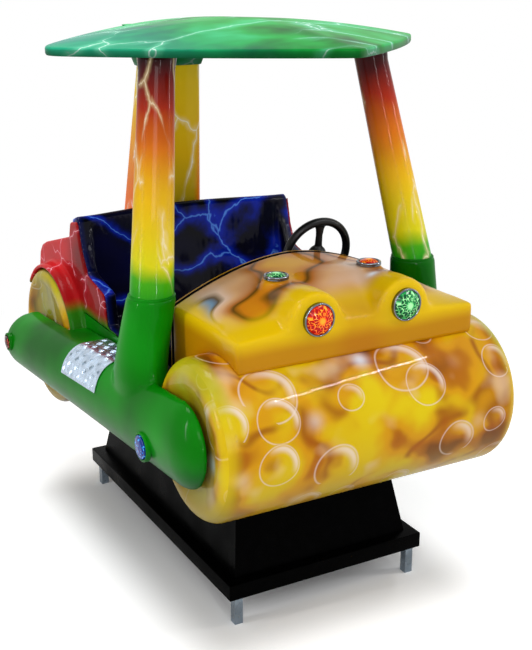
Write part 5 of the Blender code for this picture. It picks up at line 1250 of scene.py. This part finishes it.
def steering():
    """Three-spoked wheel on its shaft."""
    joint = next(j for j in frame["joints"] if j["name"] == "wheel_turn")
    centre, axis = Vector(joint["pos_m"]), Vector(joint["axis"]).normalized()
    side = Vector((1.0, 0.0, 0.0))
    up = side.cross(axis)
    rings = []
    for turn in turns(96):
        out = math.cos(turn) * side + math.sin(turn) * up
        ring = []
        for roll in turns(20):
            reach = RIM_RADIUS + GRIP_WIDE * math.cos(roll)
            ring.append(centre + out * reach + axis * GRIP_DEEP * math.sin(roll))
        rings.append(ring)
    pieces = [loft("rim", rings, closed=True)]
    boss = [(-0.0215, 0.018), (-0.016, 0.024), (-0.008, 0.0285), (0.004, 0.0285),
            (0.0075, 0.0265), (0.0075, 0.0180), (-0.0045, 0.0180), (-0.0045, 0.0)]
    pieces.append(revolve("hub", centre, axis, boss, 64))
    for spoke in range(3):
        turn = math.radians(90 + 120 * spoke)
        out = math.cos(turn) * side + math.sin(turn) * up
        across = axis.cross(out)
        sections = []
        for reach, wide, deep, drop in ((0.016, 0.016, 0.0065, -0.005), (0.035, 0.0125, 0.0060, -0.004),
                                        (0.060, 0.0115, 0.0055, -0.002), (0.080, 0.0140, 0.0058, -0.001),
                                        (0.096, 0.0200, 0.0065, 0.0), (RIM_RADIUS, 0.0235, 0.0070, 0.0)):
            middle = centre + out * reach + axis * drop
            sections.append([middle + across * wide * math.cos(t) + axis * deep * math.sin(t)
                             for t in turns(24)])
        pieces.append(loft("spoke", sections))
    black = plastic("wheel_plastic", (0.0035, 0.0035, 0.004), 0.30)
    item = mould(join("steering_wheel_moulding", pieces), 0.0022, 4)
    dress(item, black, "wheel")
    shaft = revolve("steering_shaft", centre, axis, [(-0.100, 0.0094), (-0.018, 0.0094)], 48)
    steel = metal("shaft_steel", (0.55, 0.56, 0.57), 0.30)
    dress(smooth(shaft), steel, "wheel", slot="black_plastic")
    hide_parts("steering_wheel")


def speaker_grille():
    """Shallow dome of concentric ribs that closes the loudspeaker's opening in the dashboard."""
    low, high = corners_of("loudspeaker")
    panel_back = corners_of("dashboard")[1].y
    reach = 0.0475
    ribs = 11
    profile = [(-0.004, reach), (0.0, reach)]
    for rib in range(ribs * 4):
        share = 1 - (rib + 1) / (ribs * 4 + 1)
        rise = 0.0065 * math.sqrt(1 - share * share)
        profile.append((rise + (0.0014 if rib % 4 in (1, 2) else 0.0), reach * share))
    profile += [(0.0065, 0.0), (-0.004, 0.0)]
    start = Vector(((low.x + high.x) / 2, panel_back - 0.004, (low.z + high.z) / 2))
    grille = smooth(revolve("loudspeaker_grille", start, (0, 1, 0), profile, 72), 25)
    dress(grille, plastic("speaker_grille_plastic", (0.030, 0.031, 0.034), 0.38), "ride",
          slot="black_plastic")


# ---------------------------------------------------------------- tread plates
DIAGONAL = 0.707
ROUND_GIRTH = 0.152            # round of the member that a sheet covers
SHEET_GIRTH = 0.23             # across a whole sheet, as its pattern is laid out
SHEET_INSET = 0.008            # from the tub's side to the sheet
SHEET_TURN = math.radians(76)  # how far a sheet bends down over the member
BAR_PITCH, BAR_REACH, BAR_WIDTH = 0.0046, 0.0090, 0.0013
SHEET_TOP, SHEET_UNDER, BAR_FOOT = 0.0032, 0.0012, 0.0030


def tread_plates():
    """Five-bar tread sheets bent over the side members, their raised bars built one by one."""
    bright = metal("tread_aluminium", (0.58, 0.70, 0.84), 0.24, 45.0, 0.16, 0.10)
    for name, side in (("right", -1), ("left", 1)):
        low, high = corners_of(f"tread_plate_{name}")
        start, end = low.y, high.y

        def point(u, v, lift):
            """u runs along the member, v round it from its top inner edge."""
            y = mix(start, end, u)
            middle, z, bulge, half = member_section(y)
            flat = middle - BODY_HALF - SHEET_INSET
            girth = flat + ROUND_GIRTH
            walk = v * girth
            if walk < flat:
                return Vector((side * (BODY_HALF + SHEET_INSET + walk), y, z + half + lift))
            turn = math.pi / 2 - (walk - flat) / ROUND_GIRTH * SHEET_TURN
            return Vector((side * (middle + (bulge + lift) * math.cos(turn)), y,
                           z + (half + lift) * math.sin(turn)))

        rows, columns = 24, 30
        rings = []
        for i in range(rows + 1):
            top = [point(i / rows, j / columns, SHEET_TOP) for j in range(columns + 1)]
            under = [point(i / rows, j / columns, SHEET_UNDER) for j in range(columns + 1)]
            rings.append(top + under[::-1])
        plate = loft("plate", rings)
        parts = [plate]
        cells_u, cells_v = 9, 8
        for cu in range(cells_u):
            for cv in range(cells_v):
                slant = 1 if (cu + cv) % 2 else -1
                for bar in range(5):
                    middle_u = (cu + 0.5) / cells_u
                    middle_v = (cv + 0.5) / cells_v
                    across = (bar - 2) * BAR_PITCH
                    u0 = middle_u + slant * across * DIAGONAL / (end - start)
                    v0 = middle_v + across * DIAGONAL / SHEET_GIRTH
                    du = BAR_REACH * DIAGONAL / (end - start)
                    dv = -slant * BAR_REACH * DIAGONAL / SHEET_GIRTH
                    tips = [(u0 - du, v0 - dv), (u0, v0), (u0 + du, v0 + dv)]
                    if min(min(t) for t in tips) < 0.02 or max(max(t) for t in tips) > 0.98:
                        continue
                    nu = BAR_WIDTH * DIAGONAL / (end - start)
                    nv = slant * BAR_WIDTH * DIAGONAL / SHEET_GIRTH
                    ring_pairs = []
                    for (u, v), width, lift in ((tips[0], 0.2, 0.0034), (tips[1], 1.0, 0.0046),
                                                (tips[2], 0.2, 0.0034)):
                        ring_pairs.append([point(u - nu * width, v - nv * width, BAR_FOOT),
                                           point(u, v, lift),
                                           point(u + nu * width, v + nv * width, BAR_FOOT)])
                    parts.append(loft("bar", ring_pairs))
        item = join(f"tread_sheet_{name}", parts)
        smooth(item, 25)
        dress(item, bright, "ride", f"tread_plate_{name}")


# ---------------------------------------------------------------- base
def base():
    black = base_paint()
    slab = block("base_slab_cover", SLAB_LOW, SLAB_HIGH, 0.003)
    dress(slab, black, "base", "base_slab")


def carried_over():
    """Better materials for the CAD nodes that stay as they are."""
    black = base_paint()
    steel = metal("galvanised_tube", (0.24, 0.29, 0.34), 0.30, 22.0, 0.18, 0.04)
    zinc = metal("zinc_sheet", (0.60, 0.61, 0.60), 0.33, 50.0)
    chrome = metal("coin_gear_chrome", (0.82, 0.83, 0.85), 0.12, 40.0, 0.05, 0.0)
    grey = plastic("motor_enamel", (0.11, 0.12, 0.13), 0.42)
    dark = plastic("black_plastic", (0.006, 0.006, 0.007), 0.42)
    nylon = plastic("roller_nylon", (0.62, 0.60, 0.55), 0.45)
    dash = gelcoat("dashboard_gelcoat")
    facing = dash.axis('Y', dash.node('ShaderNodeNewGeometry').outputs['Normal'])
    flat = dash.span(dash.math('ABSOLUTE', facing), 0.80, 0.90)
    dash.set("Base Color", dash.blend(flat, (0.50, 0.24, 0.004), (0.005, 0.005, 0.006)))
    # Reflector lenses: painted glints, and a faint painted glow though they are no lamps.
    blue = lens("blue_reflector_plastic", (0.005, 0.13, 0.55), (0.001, 0.02, 0.20), (0.06, 0.45, 0.90))
    brown = lens("dark_red_reflector_plastic", (0.22, 0.012, 0.006), (0.03, 0.001, 0.001),
                 (0.60, 0.10, 0.05))
    start = lens("start_button_plastic", (0.80, 0.02, 0.02), (0.35, 0.004, 0.004), (1.0, 0.35, 0.25))
    yellow = plain_gelcoat("horn_button_gelcoat", (0.80, 0.46, 0.006))
    for material, nodes in (
            (black, ("base_housing",)),
            (steel, ("leg_front_left", "leg_front_right", "leg_rear_left", "leg_rear_right", "sub_frame",
                     "crank_channel", "pivot_axle", "drive_crank", "cash_box")),
            (zinc, ("coin_door", "control_box")),
            (chrome, ("coin_entry", "coin_door_lock", "coin_reject_button", "coin_return_flap")),
            (grey, ("gear_motor", "gearbox", "pillow_block_left", "pillow_block_right", "coin_acceptor")),
            (dark, ("mains_inlet", "coin_return_cup", "steering_column", "loudspeaker")),
            (nylon, ("crank_roller",)),
            (dash.material, ("dashboard",)),
            (tub_paint(), ("floor_tub",)),
            (blue, ("front_reflector_left", "front_reflector_right")),
            (brown, ("rear_reflector_left", "rear_reflector_right")),
            (start, ("start_button",)),
            (yellow, ("horn_button",))):
        for node in nodes:
            item = frame["nodes"][node]
            item.data.materials.clear()
            item.data.materials.append(material)


def main():
    studio()
    drums()
    side_members()
    front_posts()
    rear_support()
    roof()
    hood()
    lamps()
    seat()
    shell()
    steering()
    speaker_grille()
    tread_plates()
    base()
    carried_over()


main()
